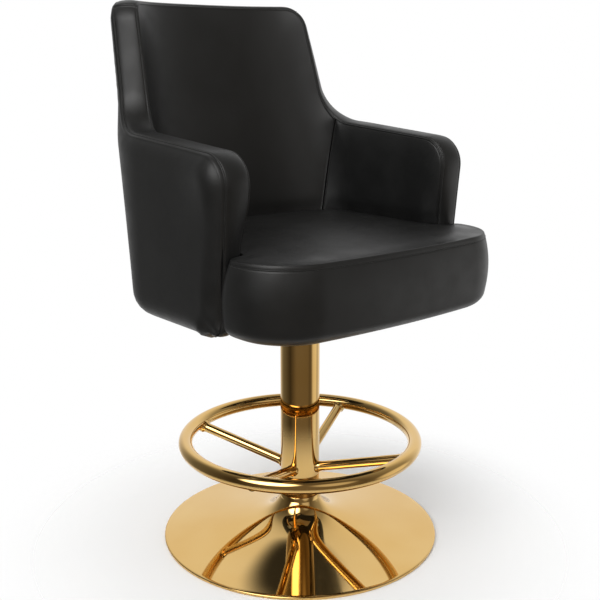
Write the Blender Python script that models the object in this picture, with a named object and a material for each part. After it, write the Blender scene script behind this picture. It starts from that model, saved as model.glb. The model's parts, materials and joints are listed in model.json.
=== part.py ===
"""A gaming stool: weighted trumpet base, column with a foot ring, ball-bearing swivel and a bucket seat.

The frame has +Z up and the floor at zero height, with the column's axis on Z.
The seat faces -Y at rest. Every length is in metres.
"""

import math

import bmesh
import bpy
from mathutils import Matrix, Vector

# Clearances
GAP = 0.0003
RUNNING_GAP = 0.0003
CUT_OVERRUN = 0.004
MERGE_DISTANCE = 0.000001

# Base
BASE_RADIUS = 0.270
BASE_SHEET = 0.0015
BASE_RIM_LIFT = 0.0008
BASE_RIM_HEIGHT = 0.0062
BASE_RIM_HEM = 0.004
BASE_CONE_RISE = 0.026
BASE_FLARE_RISE = 0.042
BASE_FLARE_REACH = 0.020
BASE_NECK_HEIGHT = 0.009
FLOOR_PAD_THICKNESS = 0.003
PAD_EDGE_CLEARANCE = 0.0012
WEIGHT_EDGE_INSET = 0.070
WEIGHT_SEAT_HEIGHT = 0.026
WEIGHT_BOSS_RADIUS = 0.050
WEIGHT_BOSS_FOOT_RADIUS = 0.058
BASE_BOLT_RADIUS = 0.006
BASE_BOLT_HEAD_RADIUS = 0.0105
BASE_BOLT_HEAD_HEIGHT = 0.0060
BASE_BOLT_FLANGE_RADIUS = 0.0125
BASE_BOLT_FLANGE_HEIGHT = 0.0015
BASE_BOLT_LENGTH = 0.030
BASE_WASHER_RADIUS = 0.0165
BASE_WASHER_THICKNESS = 0.0025
WASHER_POCKET_CLEARANCE = 0.0015
FOOT_PLUG_HEIGHT = 0.018

# Column and footrest
COLUMN_RADIUS = 0.038
COLUMN_WALL = 0.002
COLUMN_TOP = 0.4595
FOOT_RING_RADIUS = 0.224
FOOT_RING_TUBE_RADIUS = 0.0136
FOOT_RING_HEIGHT = 0.1942
SPOKE_RADIUS = 0.0095
SPOKE_COLUMN_HEIGHT = 0.1406
SPOKE_RING_DROP = 0.0070
SPOKE_COUNT = 4
SPOKE_FIRST_DEG = 27.0

# Swivel
HOUSING_DEPTH = 0.085
HOUSING_FLANGE = 0.004
HOUSING_BORE_RADIUS = 0.0185
SPINDLE_RADIUS = 0.015
SPINDLE_TAIL = 0.014
BUSH_FLANGE_RADIUS = 0.0215
BUSH_FLANGE_THICKNESS = 0.002
BUSH_LENGTH = 0.024
RACE_OUTER_RADIUS = 0.036
RACE_THICKNESS = 0.002
BALL_RADIUS = 0.003
BALL_COUNT = 6
CAGE_THICKNESS = 0.0025
CAGE_EDGE = 0.003
CLIP_THICKNESS = 0.0015
CLIP_RADIUS = 0.0205
CLIP_GROOVE_DEPTH = 0.0015
SWIVEL_PLATE_EDGE = 0.020
SWIVEL_PLATE_THICKNESS = 0.005
SWIVEL_PLATE_CORNER = 0.012
PLATE_BOLT_SPACING = 0.160
PLATE_BOLT_RADIUS = 0.004
PLATE_BOLT_HEAD_RADIUS = 0.0072
PLATE_BOLT_HEAD_HEIGHT = 0.0053
PLATE_BOLT_FLANGE_RADIUS = 0.0088
PLATE_BOLT_FLANGE_HEIGHT = 0.0014
TEE_NUT_FLANGE_RADIUS = 0.0115
TEE_NUT_FLANGE_THICKNESS = 0.0015
TEE_NUT_BARREL_RADIUS = 0.0055
TEE_NUT_BARREL_LENGTH = 0.010

# Seat
SEAT_BOARD_THICKNESS = 0.015
SEAT_WIDTH_INSET = 0.0011
SEAT_FRONT = 0.2788
SEAT_FRONT_BOW = 0.008
SEAT_FRONT_CORNER = 0.1045
SEAT_EAR_CLEARANCE = 0.0051
SEAT_EAR_CORNER = 0.018
SEAT_EAR_FILLET = 0.010
SEAT_BLOCK_HEIGHT = 0.1274
SEAT_TOP_EDGE_RISE = 0.0085
SEAT_TOP_EDGE_ROUND = 0.012
SEAT_CROWN = 0.009
SEAT_CROWN_CENTRE = 0.045
SEAT_CROWN_LENGTH = 0.250
SEAT_LOWER_ROUND = 0.016
SEAT_SIDE_DRAW = 0.0025
SEAT_LIP = 0.026
SEAT_FAN_CENTRE = 0.172
SEAT_TO_SHELL = 0.003
COVER_THICKNESS = 0.0015
PADDING_SLACK = 0.0012
FRAME_SLACK = 0.0008
OUTER_PADDING_SLACK = 0.0042
PADDING_LEAST_THICKNESS = 0.0015
EDGE_PAD_SLACK = 0.0021
BOARD_INSET = 0.0165
BOARD_CLEARANCE = 0.0007
DUST_COVER_THICKNESS = 0.001
DUST_COVER_INSET = 0.0345
FOAM_LIFT = 0.0012

# Back and arm shell
SHELL_HALF_WIDTH = 0.2751
SHELL_CORNER_START = 0.0917
SHELL_BACK_DEPTH = 0.1536
SHELL_SQUARENESS = 2.47
SHELL_THICKNESS = 0.0496
SHELL_BOTTOM = 0.478
SHELL_TOP = 1.0206
SHELL_TOP_CORNER = 0.0416
BACK_WIDTH_INSET = 0.0332
BACK_WIDTH_HEIGHT = 0.850
BACK_TAPER = 0.140
BACK_RECLINE = 0.272
BACK_RECLINE_START = 0.6302
ARM_FRONT = 0.1509
ARM_TOP = 0.7699
ARM_TOP_SLOPE = 0.0766
ARM_FRONT_CORNER = 0.0568
ARM_FRONT_LEAN = 0.0874
ARM_TO_BACK_RADIUS = 0.0838
ARM_LEAN_START = 0.040
OUTER_BULGE = 0.013
OUTER_BULGE_FADE = 0.100
OUTER_BULGE_FRONT_FADE = 0.120
SHELL_LOWER_ROUND = 0.024
FRAME_DEPTH = 0.022
FRAME_THICKNESS = 0.012
EDGE_PAD_WIDTH = 0.014
EDGE_BAND_CROWN = 0.0035
PANEL_SEAM_LENGTH = 0.290
STRAP_THICKNESS = 0.003
STRAP_HALF_WIDTH = 0.025
STRAP_FRAME_INSET = 0.0006
STRAP_SEAT_INSET = 0.0320
STRAP_SCREW_INSET = 0.0245
STRAP_SIDE_PLACE = 0.0
STRAP_SCREW_RADIUS = 0.002
STRAP_SCREW_HEAD_RADIUS = 0.0042
STRAP_SCREW_HEAD_HEIGHT = 0.0024
STRAP_SCREW_LENGTH = 0.014

# Shares and counts
PLAN_STEPS = 160
RIM_TOP_SHARES = (0.0, 0.34, 0.67)
ARM_TOP_SHARES = (0.34, 0.67)
BACK_SIDE_SHARES = (0.34, 0.67)
BACK_PLAN_SHARES = (0.80, 0.64, 0.54, 0.44, 0.33, 0.17, 0.0)
UPPER_ROW_SHARES = (0.35, 0.65, 0.85, 1.0)
LOWER_ROUND_DEG = (0, 35, 62, 90)
CROWN_RING_SHARES = (0.80, 0.56, 0.30)
SIDE_RING_SHARES = (0.34, 0.68)
TOP_EDGE_SHARES = (0.3, 1.0)
MIDDLE_SHARE = 0.5
BAND_WIDTH_SHARES = (0.0, 0.12, 0.5, 0.88, 1.0)
BAND_CROWN_SHARES = (0.0, 0.55, 1.0, 0.55, 0.0)
FRONT_EDGE_SHARES = (0.5, 1.0)
SHARP_CORNER_SHARE = 0.1
ROUND_STEPS = 4
COLUMN_SEGMENTS = 40
BASE_SEGMENTS = 40
SMALL_SEGMENTS = 24
SCREW_SEGMENTS = 10
BOLT_SEGMENTS = 12
RING_SEGMENTS = 48
RING_TUBE_SEGMENTS = 10
SPOKE_SEGMENTS = 12
BASE_PROFILE_STEPS = 7
BASE_PROFILE_POWER = 2.1

# Sizes that follow from those above
HOUSING_TOP = COLUMN_TOP + GAP + HOUSING_FLANGE
LOWER_RACE_TOP = HOUSING_TOP + GAP + RACE_THICKNESS
BALL_CENTRE = LOWER_RACE_TOP + GAP + BALL_RADIUS
UPPER_RACE_BOTTOM = BALL_CENTRE + BALL_RADIUS + GAP
PLATE_BOTTOM = UPPER_RACE_BOTTOM + RACE_THICKNESS + GAP
PLATE_TOP = PLATE_BOTTOM + SWIVEL_PLATE_THICKNESS
BOARD_BOTTOM = PLATE_TOP + GAP
BOARD_TOP = BOARD_BOTTOM + SEAT_BOARD_THICKNESS
HOUSING_BOTTOM = COLUMN_TOP - HOUSING_DEPTH
FRAME_INNER_DEPTH = FRAME_DEPTH + FRAME_THICKNESS
BASE_NECK_RADIUS = COLUMN_RADIUS + GAP + BASE_SHEET
WEIGHT_RADIUS = BASE_RADIUS - WEIGHT_EDGE_INSET
SWIVEL_PLATE_SIDE = PLATE_BOLT_SPACING + 2 * SWIVEL_PLATE_EDGE
SEAT_SEAM_HEIGHT = SHELL_BOTTOM + SEAT_BLOCK_HEIGHT
ARM_FRONT_AT_SEAM = ARM_FRONT - (ARM_TOP - SEAT_SEAM_HEIGHT) * ARM_FRONT_LEAN
SEAT_EAR_BACK = ARM_FRONT_AT_SEAM + SEAT_EAR_CLEARANCE
SEAT_HALF_WIDTH = SHELL_HALF_WIDTH - SEAT_WIDTH_INSET
BACK_HALF_WIDTH = SHELL_HALF_WIDTH - BACK_WIDTH_INSET
BASE_NECK_BOTTOM = BASE_RIM_HEIGHT + BASE_CONE_RISE + BASE_FLARE_RISE


def clear_scene():
    """Empties the file of objects."""
    for item in list(bpy.data.objects):
        bpy.data.objects.remove(item, do_unlink=True)


def make_material(name, colour, roughness, metallic=0.0):
    """A Principled material with one colour."""
    material = bpy.data.materials.new(name)
    material.use_nodes = True
    shader = material.node_tree.nodes["Principled BSDF"]
    shader.inputs["Base Color"].default_value = (*colour, 1.0)
    shader.inputs["Roughness"].default_value = roughness
    shader.inputs["Metallic"].default_value = metallic
    material.diffuse_color = (*colour, 1.0)
    return material


def make_materials():
    """Every finish of the stool by its plain name."""
    return {
        "gold": make_material("polished_gold", (0.83, 0.60, 0.27), 0.07, 1.0),
        "leather": make_material("black_leather", (0.018, 0.018, 0.019), 0.42),
        "foam": make_material("seat_foam", (0.80, 0.76, 0.62), 0.9),
        "plywood": make_material("plywood", (0.62, 0.45, 0.27), 0.7),
        "iron": make_material("cast_iron", (0.09, 0.09, 0.10), 0.65, 1.0),
        "steel": make_material("zinc_steel", (0.58, 0.59, 0.60), 0.32, 1.0),
        "nylon": make_material("white_nylon", (0.80, 0.79, 0.75), 0.45),
        "brass": make_material("cage_brass", (0.72, 0.55, 0.28), 0.35, 1.0),
        "rubber": make_material("floor_rubber", (0.03, 0.03, 0.03), 0.85),
        "lining": make_material("dust_lining", (0.02, 0.02, 0.02), 0.95),
    }


def finish_object(name, mesh_data, material, flat_angle=35.0):
    """Closes up a bmesh, points its faces outwards and links it as a named object."""
    bmesh.ops.remove_doubles(mesh_data, verts=mesh_data.verts, dist=MERGE_DISTANCE)
    bmesh.ops.dissolve_degenerate(mesh_data, edges=mesh_data.edges, dist=MERGE_DISTANCE)
    bmesh.ops.recalc_face_normals(mesh_data, faces=mesh_data.faces)
    mesh = bpy.data.meshes.new(name)
    mesh_data.to_mesh(mesh)
    mesh_data.free()
    mesh.materials.append(material)
    mesh.shade_smooth()
    mesh.set_sharp_from_angle(angle=math.radians(flat_angle))
    item = bpy.data.objects.new(name, mesh)
    bpy.context.scene.collection.objects.link(item)
    return item


def hide_cutter(item):
    """Marks an object as a cutter."""
    item.hide_render = True
    item.display_type = "WIRE"
    return item


def cut(item, cutter):
    """Takes the cutter's space out of an object."""
    modifier = item.modifiers.new("cut_" + cutter.name, "BOOLEAN")
    modifier.operation = "DIFFERENCE"
    modifier.object = cutter
    return item


def turned(name, profile, material, segments=COLUMN_SEGMENTS):
    """Spins a closed profile of (radius, height) points once round Z."""
    mesh_data = bmesh.new()
    points = [mesh_data.verts.new((radius, 0, height)) for radius, height in profile]
    pairs = [(points[i - 1], points[i]) for i in range(len(points))]
    edges = [mesh_data.edges.new(pair) for pair in pairs if pair[0].co.x > 0 or pair[1].co.x > 0]
    bmesh.ops.spin(
        mesh_data,
        geom=points + edges,
        axis=(0, 0, 1),
        cent=(0, 0, 0),
        steps=segments,
        angle=math.tau,
        use_merge=True,
    )
    return finish_object(name, mesh_data, material)


def split_face(mesh_data, corners):
    """Two triangles in place of a bent four-sided face, split the same way in every layer."""
    mesh_data.faces.new((corners[0], corners[1], corners[2]))
    mesh_data.faces.new((corners[0], corners[2], corners[3]))


def lofted(mesh_data, rings, closed_start=True, closed_end=True, joined=False, split=False):
    """Skins rings of points that have equal counts, and caps the two ends or joins them."""
    loops = [[mesh_data.verts.new(point) for point in ring] for ring in rings]
    pairs = list(zip(loops, loops[1:]))
    if joined:
        pairs.append((loops[-1], loops[0]))
    for low, high in pairs:
        for i in range(len(low)):
            corners = (low[i - 1], low[i], high[i], high[i - 1])
            if split:
                split_face(mesh_data, corners)
            else:
                mesh_data.faces.new(corners)
    if closed_start and not joined:
        mesh_data.faces.new(loops[0])
    if closed_end and not joined:
        mesh_data.faces.new(loops[-1])
    return loops


def circle(radius, height, segments, centre=(0, 0)):
    """A level circle of points."""
    turn = math.tau / segments
    return [
        Vector((centre[0] + radius * math.cos(turn * i), centre[1] + radius * math.sin(turn * i), height))
        for i in range(segments)
    ]


def hexagon(radius, height, centre=(0, 0)):
    """Twelve points on a level hexagon: its corners and the middles of its flats."""
    flat = radius * math.cos(math.pi / 6)
    turn = math.tau / 12
    return [
        Vector(
            (
                centre[0] + (radius if i % 2 == 0 else flat) * math.cos(turn * i),
                centre[1] + (radius if i % 2 == 0 else flat) * math.sin(turn * i),
                height,
            )
        )
        for i in range(12)
    ]


def hex_bolt(name, seat, head, flange, shank, material):
    """A flanged hex bolt, head down on Z, from (radius, length) pairs of its head, flange and shank."""
    head_radius, head_height = head
    flange_radius, flange_height = flange
    shank_radius, shank_length = shank
    flange_bottom = seat - flange_height
    head_bottom = flange_bottom - head_height
    shank_top = seat + shank_length
    rings = [
        hexagon(head_radius, head_bottom),
        hexagon(head_radius, flange_bottom),
        circle(flange_radius, flange_bottom, BOLT_SEGMENTS),
        circle(flange_radius, seat, BOLT_SEGMENTS),
        circle(shank_radius, seat, BOLT_SEGMENTS),
        circle(shank_radius, shank_top, BOLT_SEGMENTS),
    ]
    mesh_data = bmesh.new()
    lofted(mesh_data, rings)
    return finish_object(name, mesh_data, material)


def repeat(first, places):
    """Stands copies of an object at level offsets from the axis, numbered from 1, each its own object."""
    stem = first.name
    items = []
    for number, (x, y) in enumerate(places, 1):
        item = first if number == 1 else bpy.data.objects.new(stem, first.data)
        if number > 1:
            bpy.context.scene.collection.objects.link(item)
        item.name = f"{stem}_{number}"
        item.location = (x, y, 0)
        items.append(item)
    return items


def washer_profile(inner_radius, outer_radius, bottom, thickness):
    """The closed section of a flat ring."""
    top = bottom + thickness
    return [(outer_radius, bottom), (outer_radius, top), (inner_radius, top), (inner_radius, bottom)]


def base_height(radius):
    """Height of the trumpet's outer face at a radius."""
    reach = (BASE_RADIUS - radius) / (BASE_RADIUS - BASE_NECK_RADIUS)
    flare = math.exp(-(radius - BASE_NECK_RADIUS) / BASE_FLARE_REACH)
    return BASE_RIM_HEIGHT + BASE_CONE_RISE * reach + BASE_FLARE_RISE * flare


def base_profile():
    """(radius, height) points down the trumpet's outer face, closer together at the neck."""
    points = []
    for i in range(BASE_PROFILE_STEPS):
        share = (i / BASE_PROFILE_STEPS) ** BASE_PROFILE_POWER
        radius = BASE_NECK_RADIUS + (BASE_RADIUS - BASE_NECK_RADIUS) * share
        points.append((radius, base_height(radius)))
    return points


def height_on(profile, radius):
    """Height of a profile's straight runs at a radius."""
    for inner, outer in zip(profile, profile[1:]):
        if radius <= outer[0]:
            return inner[1] + (outer[1] - inner[1]) * (radius - inner[0]) / (outer[0] - inner[0])
    return profile[-1][1]


def make_base(materials):
    """Floor pad, cast weight, trumpet cover and the bolt that holds them to the column."""
    weight_bottom = FLOOR_PAD_THICKNESS + GAP
    pad_radius = BASE_RADIUS - BASE_RIM_HEM - PAD_EDGE_CLEARANCE
    turned(
        "floor_pad",
        [(0, 0), (pad_radius, 0), (pad_radius, FLOOR_PAD_THICKNESS), (0, FLOOR_PAD_THICKNESS)],
        materials["rubber"],
        BASE_SEGMENTS,
    )

    outside = base_profile()
    inside = [(radius, height - BASE_SHEET) for radius, height in outside[1:]]
    neck_inner = BASE_NECK_RADIUS - BASE_SHEET
    neck_top = BASE_NECK_BOTTOM + BASE_NECK_HEIGHT
    shoulder = BASE_RIM_HEIGHT - BASE_SHEET
    cover = [(neck_inner, neck_top), (BASE_NECK_RADIUS, neck_top)]
    cover += outside
    hem = BASE_RADIUS - BASE_SHEET
    cover += [(hem, BASE_RIM_HEIGHT), (BASE_RADIUS, shoulder), (BASE_RADIUS, BASE_RIM_LIFT)]
    cover += [(hem, BASE_RIM_LIFT), (hem, shoulder)]
    cover += list(reversed(inside))
    cover += [(neck_inner, BASE_NECK_BOTTOM - BASE_SHEET - BASE_SHEET)]
    turned("base_cover", cover, materials["gold"], BASE_SEGMENTS)

    weight_top = height_on(outside, WEIGHT_RADIUS) - BASE_SHEET - GAP
    washer_top = WEIGHT_SEAT_HEIGHT - BASE_BOLT_LENGTH + FOOT_PLUG_HEIGHT - GAP
    pocket_radius = BASE_WASHER_RADIUS + WASHER_POCKET_CLEARANCE
    bolt_hole = BASE_BOLT_RADIUS + GAP
    weight = [(bolt_hole, WEIGHT_SEAT_HEIGHT), (WEIGHT_BOSS_RADIUS, WEIGHT_SEAT_HEIGHT)]
    weight += [(WEIGHT_BOSS_FOOT_RADIUS, weight_top), (WEIGHT_RADIUS, weight_top)]
    weight += [(WEIGHT_RADIUS, weight_bottom), (pocket_radius, weight_bottom)]
    weight += [(pocket_radius, washer_top + GAP), (bolt_hole, washer_top + GAP)]
    turned("base_weight", weight, materials["iron"], BASE_SEGMENTS)

    washer_bottom = washer_top - BASE_WASHER_THICKNESS
    turned(
        "base_washer",
        washer_profile(BASE_BOLT_RADIUS + GAP, BASE_WASHER_RADIUS, washer_bottom, BASE_WASHER_THICKNESS),
        materials["steel"],
        SMALL_SEGMENTS,
    )
    seat = washer_bottom - GAP
    hex_bolt(
        "base_bolt",
        seat,
        (BASE_BOLT_HEAD_RADIUS, BASE_BOLT_HEAD_HEIGHT),
        (BASE_BOLT_FLANGE_RADIUS, BASE_BOLT_FLANGE_HEIGHT),
        (BASE_BOLT_RADIUS, BASE_BOLT_LENGTH),
        materials["steel"],
    )


def make_column(materials):
    """Column tube and the plug welded into its foot."""
    foot = WEIGHT_SEAT_HEIGHT + GAP
    bore = COLUMN_RADIUS - COLUMN_WALL
    turned(
        "column_tube",
        [(bore, foot), (COLUMN_RADIUS, foot), (COLUMN_RADIUS, COLUMN_TOP), (bore, COLUMN_TOP)],
        materials["gold"],
    )
    turned(
        "column_foot_plug",
        washer_profile(BASE_BOLT_RADIUS + GAP, bore - GAP, foot, FOOT_PLUG_HEIGHT),
        materials["steel"],
    )


def torus_rings(tube_radius):
    """Sections of the foot ring's tube, one after another round the column."""
    rings = []
    for i in range(RING_SEGMENTS):
        around = math.tau * i / RING_SEGMENTS
        out = Vector((math.cos(around), math.sin(around), 0))
        ring = []
        for j in range(RING_TUBE_SEGMENTS):
            section = math.tau * (j + MIDDLE_SHARE) / RING_TUBE_SEGMENTS
            radius = FOOT_RING_RADIUS + tube_radius * math.cos(section)
            ring.append(out * radius + Vector((0, 0, FOOT_RING_HEIGHT + tube_radius * math.sin(section))))
        rings.append(ring)
    return rings


def make_footrest(materials):
    """Foot ring and the spokes that are mitred to the ring and to the column."""
    mesh_data = bmesh.new()
    lofted(mesh_data, torus_rings(FOOT_RING_TUBE_RADIUS), joined=True)
    finish_object("foot_ring", mesh_data, materials["gold"])

    mesh_data = bmesh.new()
    lofted(mesh_data, torus_rings(FOOT_RING_TUBE_RADIUS + GAP), joined=True)
    ring_cutter = hide_cutter(finish_object("ring_cutter", mesh_data, materials["gold"]))
    cutter_top = FOOT_RING_HEIGHT + FOOT_RING_TUBE_RADIUS
    column_cutter = hide_cutter(
        turned(
            "column_cutter",
            [(0, 0), (COLUMN_RADIUS + GAP, 0), (COLUMN_RADIUS + GAP, cutter_top), (0, cutter_top)],
            materials["gold"],
        )
    )

    inner_end = COLUMN_RADIUS - COLUMN_WALL
    outer_end = FOOT_RING_RADIUS - FOOT_RING_TUBE_RADIUS / 2
    rise = FOOT_RING_HEIGHT - SPOKE_RING_DROP - SPOKE_COLUMN_HEIGHT
    start = Vector((inner_end, 0, SPOKE_COLUMN_HEIGHT))
    end = Vector((outer_end, 0, SPOKE_COLUMN_HEIGHT + rise))
    tilt = (end - start).to_track_quat("Z", "Y").to_matrix()
    mesh_data = bmesh.new()
    section = circle(SPOKE_RADIUS, 0, SPOKE_SEGMENTS)
    lofted(mesh_data, [[place + tilt @ point for point in section] for place in (start, end)])
    first = finish_object("spoke_1", mesh_data, materials["gold"])
    for number in range(1, SPOKE_COUNT + 1):
        if number == 1:
            spoke = first
        else:
            spoke = bpy.data.objects.new(f"spoke_{number}", first.data)
            bpy.context.scene.collection.objects.link(spoke)
        spoke.rotation_euler.z = math.radians(SPOKE_FIRST_DEG) + math.tau * (number - 1) / SPOKE_COUNT
        cut(spoke, column_cutter)
        cut(spoke, ring_cutter)


def bush_profile(flange_level, upwards):
    """Section of a flanged bush whose flange lies on a face of the housing."""
    inner = SPINDLE_RADIUS + RUNNING_GAP
    outer = HOUSING_BORE_RADIUS - GAP
    side = 1 if upwards else -1
    flange_end = flange_level + side * BUSH_FLANGE_THICKNESS
    sleeve_end = flange_level - side * BUSH_LENGTH
    return [
        (inner, sleeve_end),
        (outer, sleeve_end),
        (outer, flange_level),
        (BUSH_FLANGE_RADIUS, flange_level),
        (BUSH_FLANGE_RADIUS, flange_end),
        (inner, flange_end),
    ]


def make_swivel_stand(materials):
    """Housing pressed into the column's top, its two bushes and the lower race."""
    pocket = BUSH_FLANGE_RADIUS + GAP
    pocket_floor = HOUSING_TOP - BUSH_FLANGE_THICKNESS - GAP
    body = COLUMN_RADIUS - COLUMN_WALL - GAP
    flange_bottom = COLUMN_TOP + GAP
    turned(
        "bearing_housing",
        [
            (HOUSING_BORE_RADIUS, HOUSING_BOTTOM),
            (body, HOUSING_BOTTOM),
            (body, flange_bottom),
            (COLUMN_RADIUS, flange_bottom),
            (COLUMN_RADIUS, HOUSING_TOP),
            (pocket, HOUSING_TOP),
            (pocket, pocket_floor),
            (HOUSING_BORE_RADIUS, pocket_floor),
        ],
        materials["steel"],
    )
    turned("upper_bush", bush_profile(pocket_floor + GAP, True), materials["nylon"], SMALL_SEGMENTS)
    turned("lower_bush", bush_profile(HOUSING_BOTTOM - GAP, False), materials["nylon"], SMALL_SEGMENTS)
    turned(
        "lower_race",
        washer_profile(BUSH_FLANGE_RADIUS + GAP, RACE_OUTER_RADIUS, HOUSING_TOP + GAP, RACE_THICKNESS),
        materials["steel"],
        SMALL_SEGMENTS,
    )


def make_bearing_cage(materials):
    """Balls of the thrust bearing in their flat cage, which turn at half the seat's speed."""
    pitch_radius = (BUSH_FLANGE_RADIUS + RACE_OUTER_RADIUS) / 2
    turns = [math.tau * i / BALL_COUNT for i in range(BALL_COUNT)]
    places = [(pitch_radius * math.cos(turn), pitch_radius * math.sin(turn)) for turn in turns]
    mesh_data = bmesh.new()
    lift = Matrix.Translation((0, 0, BALL_CENTRE))
    bmesh.ops.create_icosphere(mesh_data, subdivisions=2, radius=BALL_RADIUS, matrix=lift)
    repeat(finish_object("bearing_ball", mesh_data, materials["steel"]), places)

    reach = BALL_RADIUS + CAGE_EDGE
    bottom = BALL_CENTRE - CAGE_THICKNESS / 2
    cage = turned(
        "ball_cage",
        washer_profile(pitch_radius - reach, pitch_radius + reach, bottom, CAGE_THICKNESS),
        materials["brass"],
        SMALL_SEGMENTS,
    )
    above = bottom + CAGE_THICKNESS + CUT_OVERRUN
    pocket = BALL_RADIUS + GAP
    cut(cage, hole_cutter("pocket_cutter", pocket, bottom - CUT_OVERRUN, above, places, materials["brass"]))


def rounded_square(side, corner, height):
    """A level square of points with rounded corners."""
    half = side / 2 - corner
    points = []
    for quarter in range(4):
        middle = math.radians(45 + 90 * quarter)
        centre_x = math.copysign(half, math.cos(middle))
        centre_y = math.copysign(half, math.sin(middle))
        for step in range(ROUND_STEPS):
            angle = math.radians(90 * quarter + 90 * step / (ROUND_STEPS - 1))
            x = centre_x + corner * math.cos(angle)
            y = centre_y + corner * math.sin(angle)
            points.append(Vector((x, y, height)))
    return points


def plate_corners():
    """Centres of the swivel plate's four bolts."""
    half = PLATE_BOLT_SPACING / 2
    return [(x, y) for x in (-half, half) for y in (-half, half)]


def hole_cutter(name, radius, bottom, top, centres, material, segments=BOLT_SEGMENTS):
    """One cutter made of upright rods."""
    mesh_data = bmesh.new()
    for centre in centres:
        lofted(mesh_data, [circle(radius, end, segments, centre) for end in (bottom, top)])
    return hide_cutter(finish_object(name, mesh_data, material))


def make_swivel_seat(materials):
    """Upper race, spindle with its clip, and the plate that carries the seat board."""
    steel = materials["steel"]
    turned(
        "upper_race",
        washer_profile(SPINDLE_RADIUS + GAP, RACE_OUTER_RADIUS, UPPER_RACE_BOTTOM, RACE_THICKNESS),
        steel,
        SMALL_SEGMENTS,
    )
    bush_end = HOUSING_BOTTOM - GAP - BUSH_FLANGE_THICKNESS
    clip_top = bush_end - RUNNING_GAP
    clip_bottom = clip_top - CLIP_THICKNESS
    groove = SPINDLE_RADIUS - CLIP_GROOVE_DEPTH
    tail = clip_bottom - SPINDLE_TAIL
    turned(
        "swivel_spindle",
        [
            (0, tail),
            (SPINDLE_RADIUS, tail),
            (SPINDLE_RADIUS, clip_bottom - GAP),
            (groove, clip_bottom - GAP),
            (groove, clip_top + GAP),
            (SPINDLE_RADIUS, clip_top + GAP),
            (SPINDLE_RADIUS, PLATE_TOP),
            (0, PLATE_TOP),
        ],
        steel,
        SMALL_SEGMENTS,
    )
    clip = washer_profile(groove + GAP, CLIP_RADIUS, clip_bottom, CLIP_THICKNESS)
    turned("spindle_clip", clip, steel, SMALL_SEGMENTS)

    mesh_data = bmesh.new()
    levels = (PLATE_BOTTOM, PLATE_TOP)
    lofted(mesh_data, [rounded_square(SWIVEL_PLATE_SIDE, SWIVEL_PLATE_CORNER, level) for level in levels])
    plate = finish_object("swivel_plate", mesh_data, steel)
    below = PLATE_BOTTOM - CUT_OVERRUN
    above = PLATE_TOP + CUT_OVERRUN
    bolt_hole = PLATE_BOLT_RADIUS + GAP
    spindle_hole = SPINDLE_RADIUS + GAP
    cut(plate, hole_cutter("plate_bolt_cutter", bolt_hole, below, above, plate_corners(), steel))
    middle = [(0, 0)]
    cut(plate, hole_cutter("plate_centre_cutter", spindle_hole, below, above, middle, steel, SMALL_SEGMENTS))

    seat = PLATE_BOTTOM - GAP
    bolt = hex_bolt(
        "plate_bolt",
        seat,
        (PLATE_BOLT_HEAD_RADIUS, PLATE_BOLT_HEAD_HEIGHT),
        (PLATE_BOLT_FLANGE_RADIUS, PLATE_BOLT_FLANGE_HEIGHT),
        (PLATE_BOLT_RADIUS, BOARD_TOP - GAP - seat),
        steel,
    )
    repeat(bolt, plate_corners())

    flange_top = BOARD_TOP
    flange_bottom = flange_top - TEE_NUT_FLANGE_THICKNESS
    barrel_bottom = flange_bottom - TEE_NUT_BARREL_LENGTH
    thread = PLATE_BOLT_RADIUS + GAP
    rings = [
        circle(TEE_NUT_BARREL_RADIUS, barrel_bottom, BOLT_SEGMENTS),
        circle(TEE_NUT_BARREL_RADIUS, flange_bottom, BOLT_SEGMENTS),
        circle(TEE_NUT_FLANGE_RADIUS, flange_bottom, BOLT_SEGMENTS),
        circle(TEE_NUT_FLANGE_RADIUS, flange_top, BOLT_SEGMENTS),
        circle(thread, flange_top, BOLT_SEGMENTS),
        circle(thread, barrel_bottom, BOLT_SEGMENTS),
    ]
    mesh_data = bmesh.new()
    lofted(mesh_data, rings, joined=True)
    repeat(finish_object("tee_nut", mesh_data, steel), plate_corners())


def plan_table():
    """(length along the shell, x, y) from the middle of the back round to the arm's front end."""
    points = []
    for i in range(PLAN_STEPS + 1):
        angle = math.pi / 2 * i / PLAN_STEPS
        x = SHELL_HALF_WIDTH * math.sin(angle) ** (2 / SHELL_SQUARENESS)
        y = SHELL_CORNER_START + SHELL_BACK_DEPTH * max(0.0, math.cos(angle)) ** (2 / SHELL_SQUARENESS)
        points.append((x, y))
    points.append((SHELL_HALF_WIDTH, -SEAT_FRONT))
    table = [(0.0, *points[0])]
    for before, after in zip(points, points[1:]):
        length = table[-1][0] + math.dist(before, after)
        table.append((length, *after))
    return table


PLAN = plan_table()


def plan_place(length):
    """Point of the shell's outer plan at a length from the middle of the back, on the +X side."""
    for before, after in zip(PLAN, PLAN[1:]):
        if length <= after[0]:
            share = (length - before[0]) / (after[0] - before[0])
            return (
                before[1] + share * (after[1] - before[1]),
                before[2] + share * (after[2] - before[2]),
            )
    return PLAN[-1][1], PLAN[-1][2]


def plan_length_at_y(y):
    """Length along the plan at which it reaches a depth y."""
    for before, after in zip(PLAN, PLAN[1:]):
        if after[2] <= y:
            return before[0] + (after[0] - before[0]) * (before[2] - y) / (before[2] - after[2])
    return PLAN[-1][0]


def plan_length_at_x(x):
    """Length along the plan at which it reaches a half width x."""
    for before, after in zip(PLAN, PLAN[1:]):
        if after[1] >= x:
            return before[0] + (after[0] - before[0]) * (x - before[1]) / (after[1] - before[1])
    return PLAN[-1][0]


ARM_FRONT_LENGTH = plan_length_at_y(-ARM_FRONT)
ARM_LEAN_LENGTH = plan_length_at_y(-ARM_LEAN_START)
BACK_EDGE_LENGTH = plan_length_at_x(BACK_HALF_WIDTH)
BULGE_END_LENGTH = ARM_FRONT_LENGTH - OUTER_BULGE_FRONT_FADE


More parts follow.
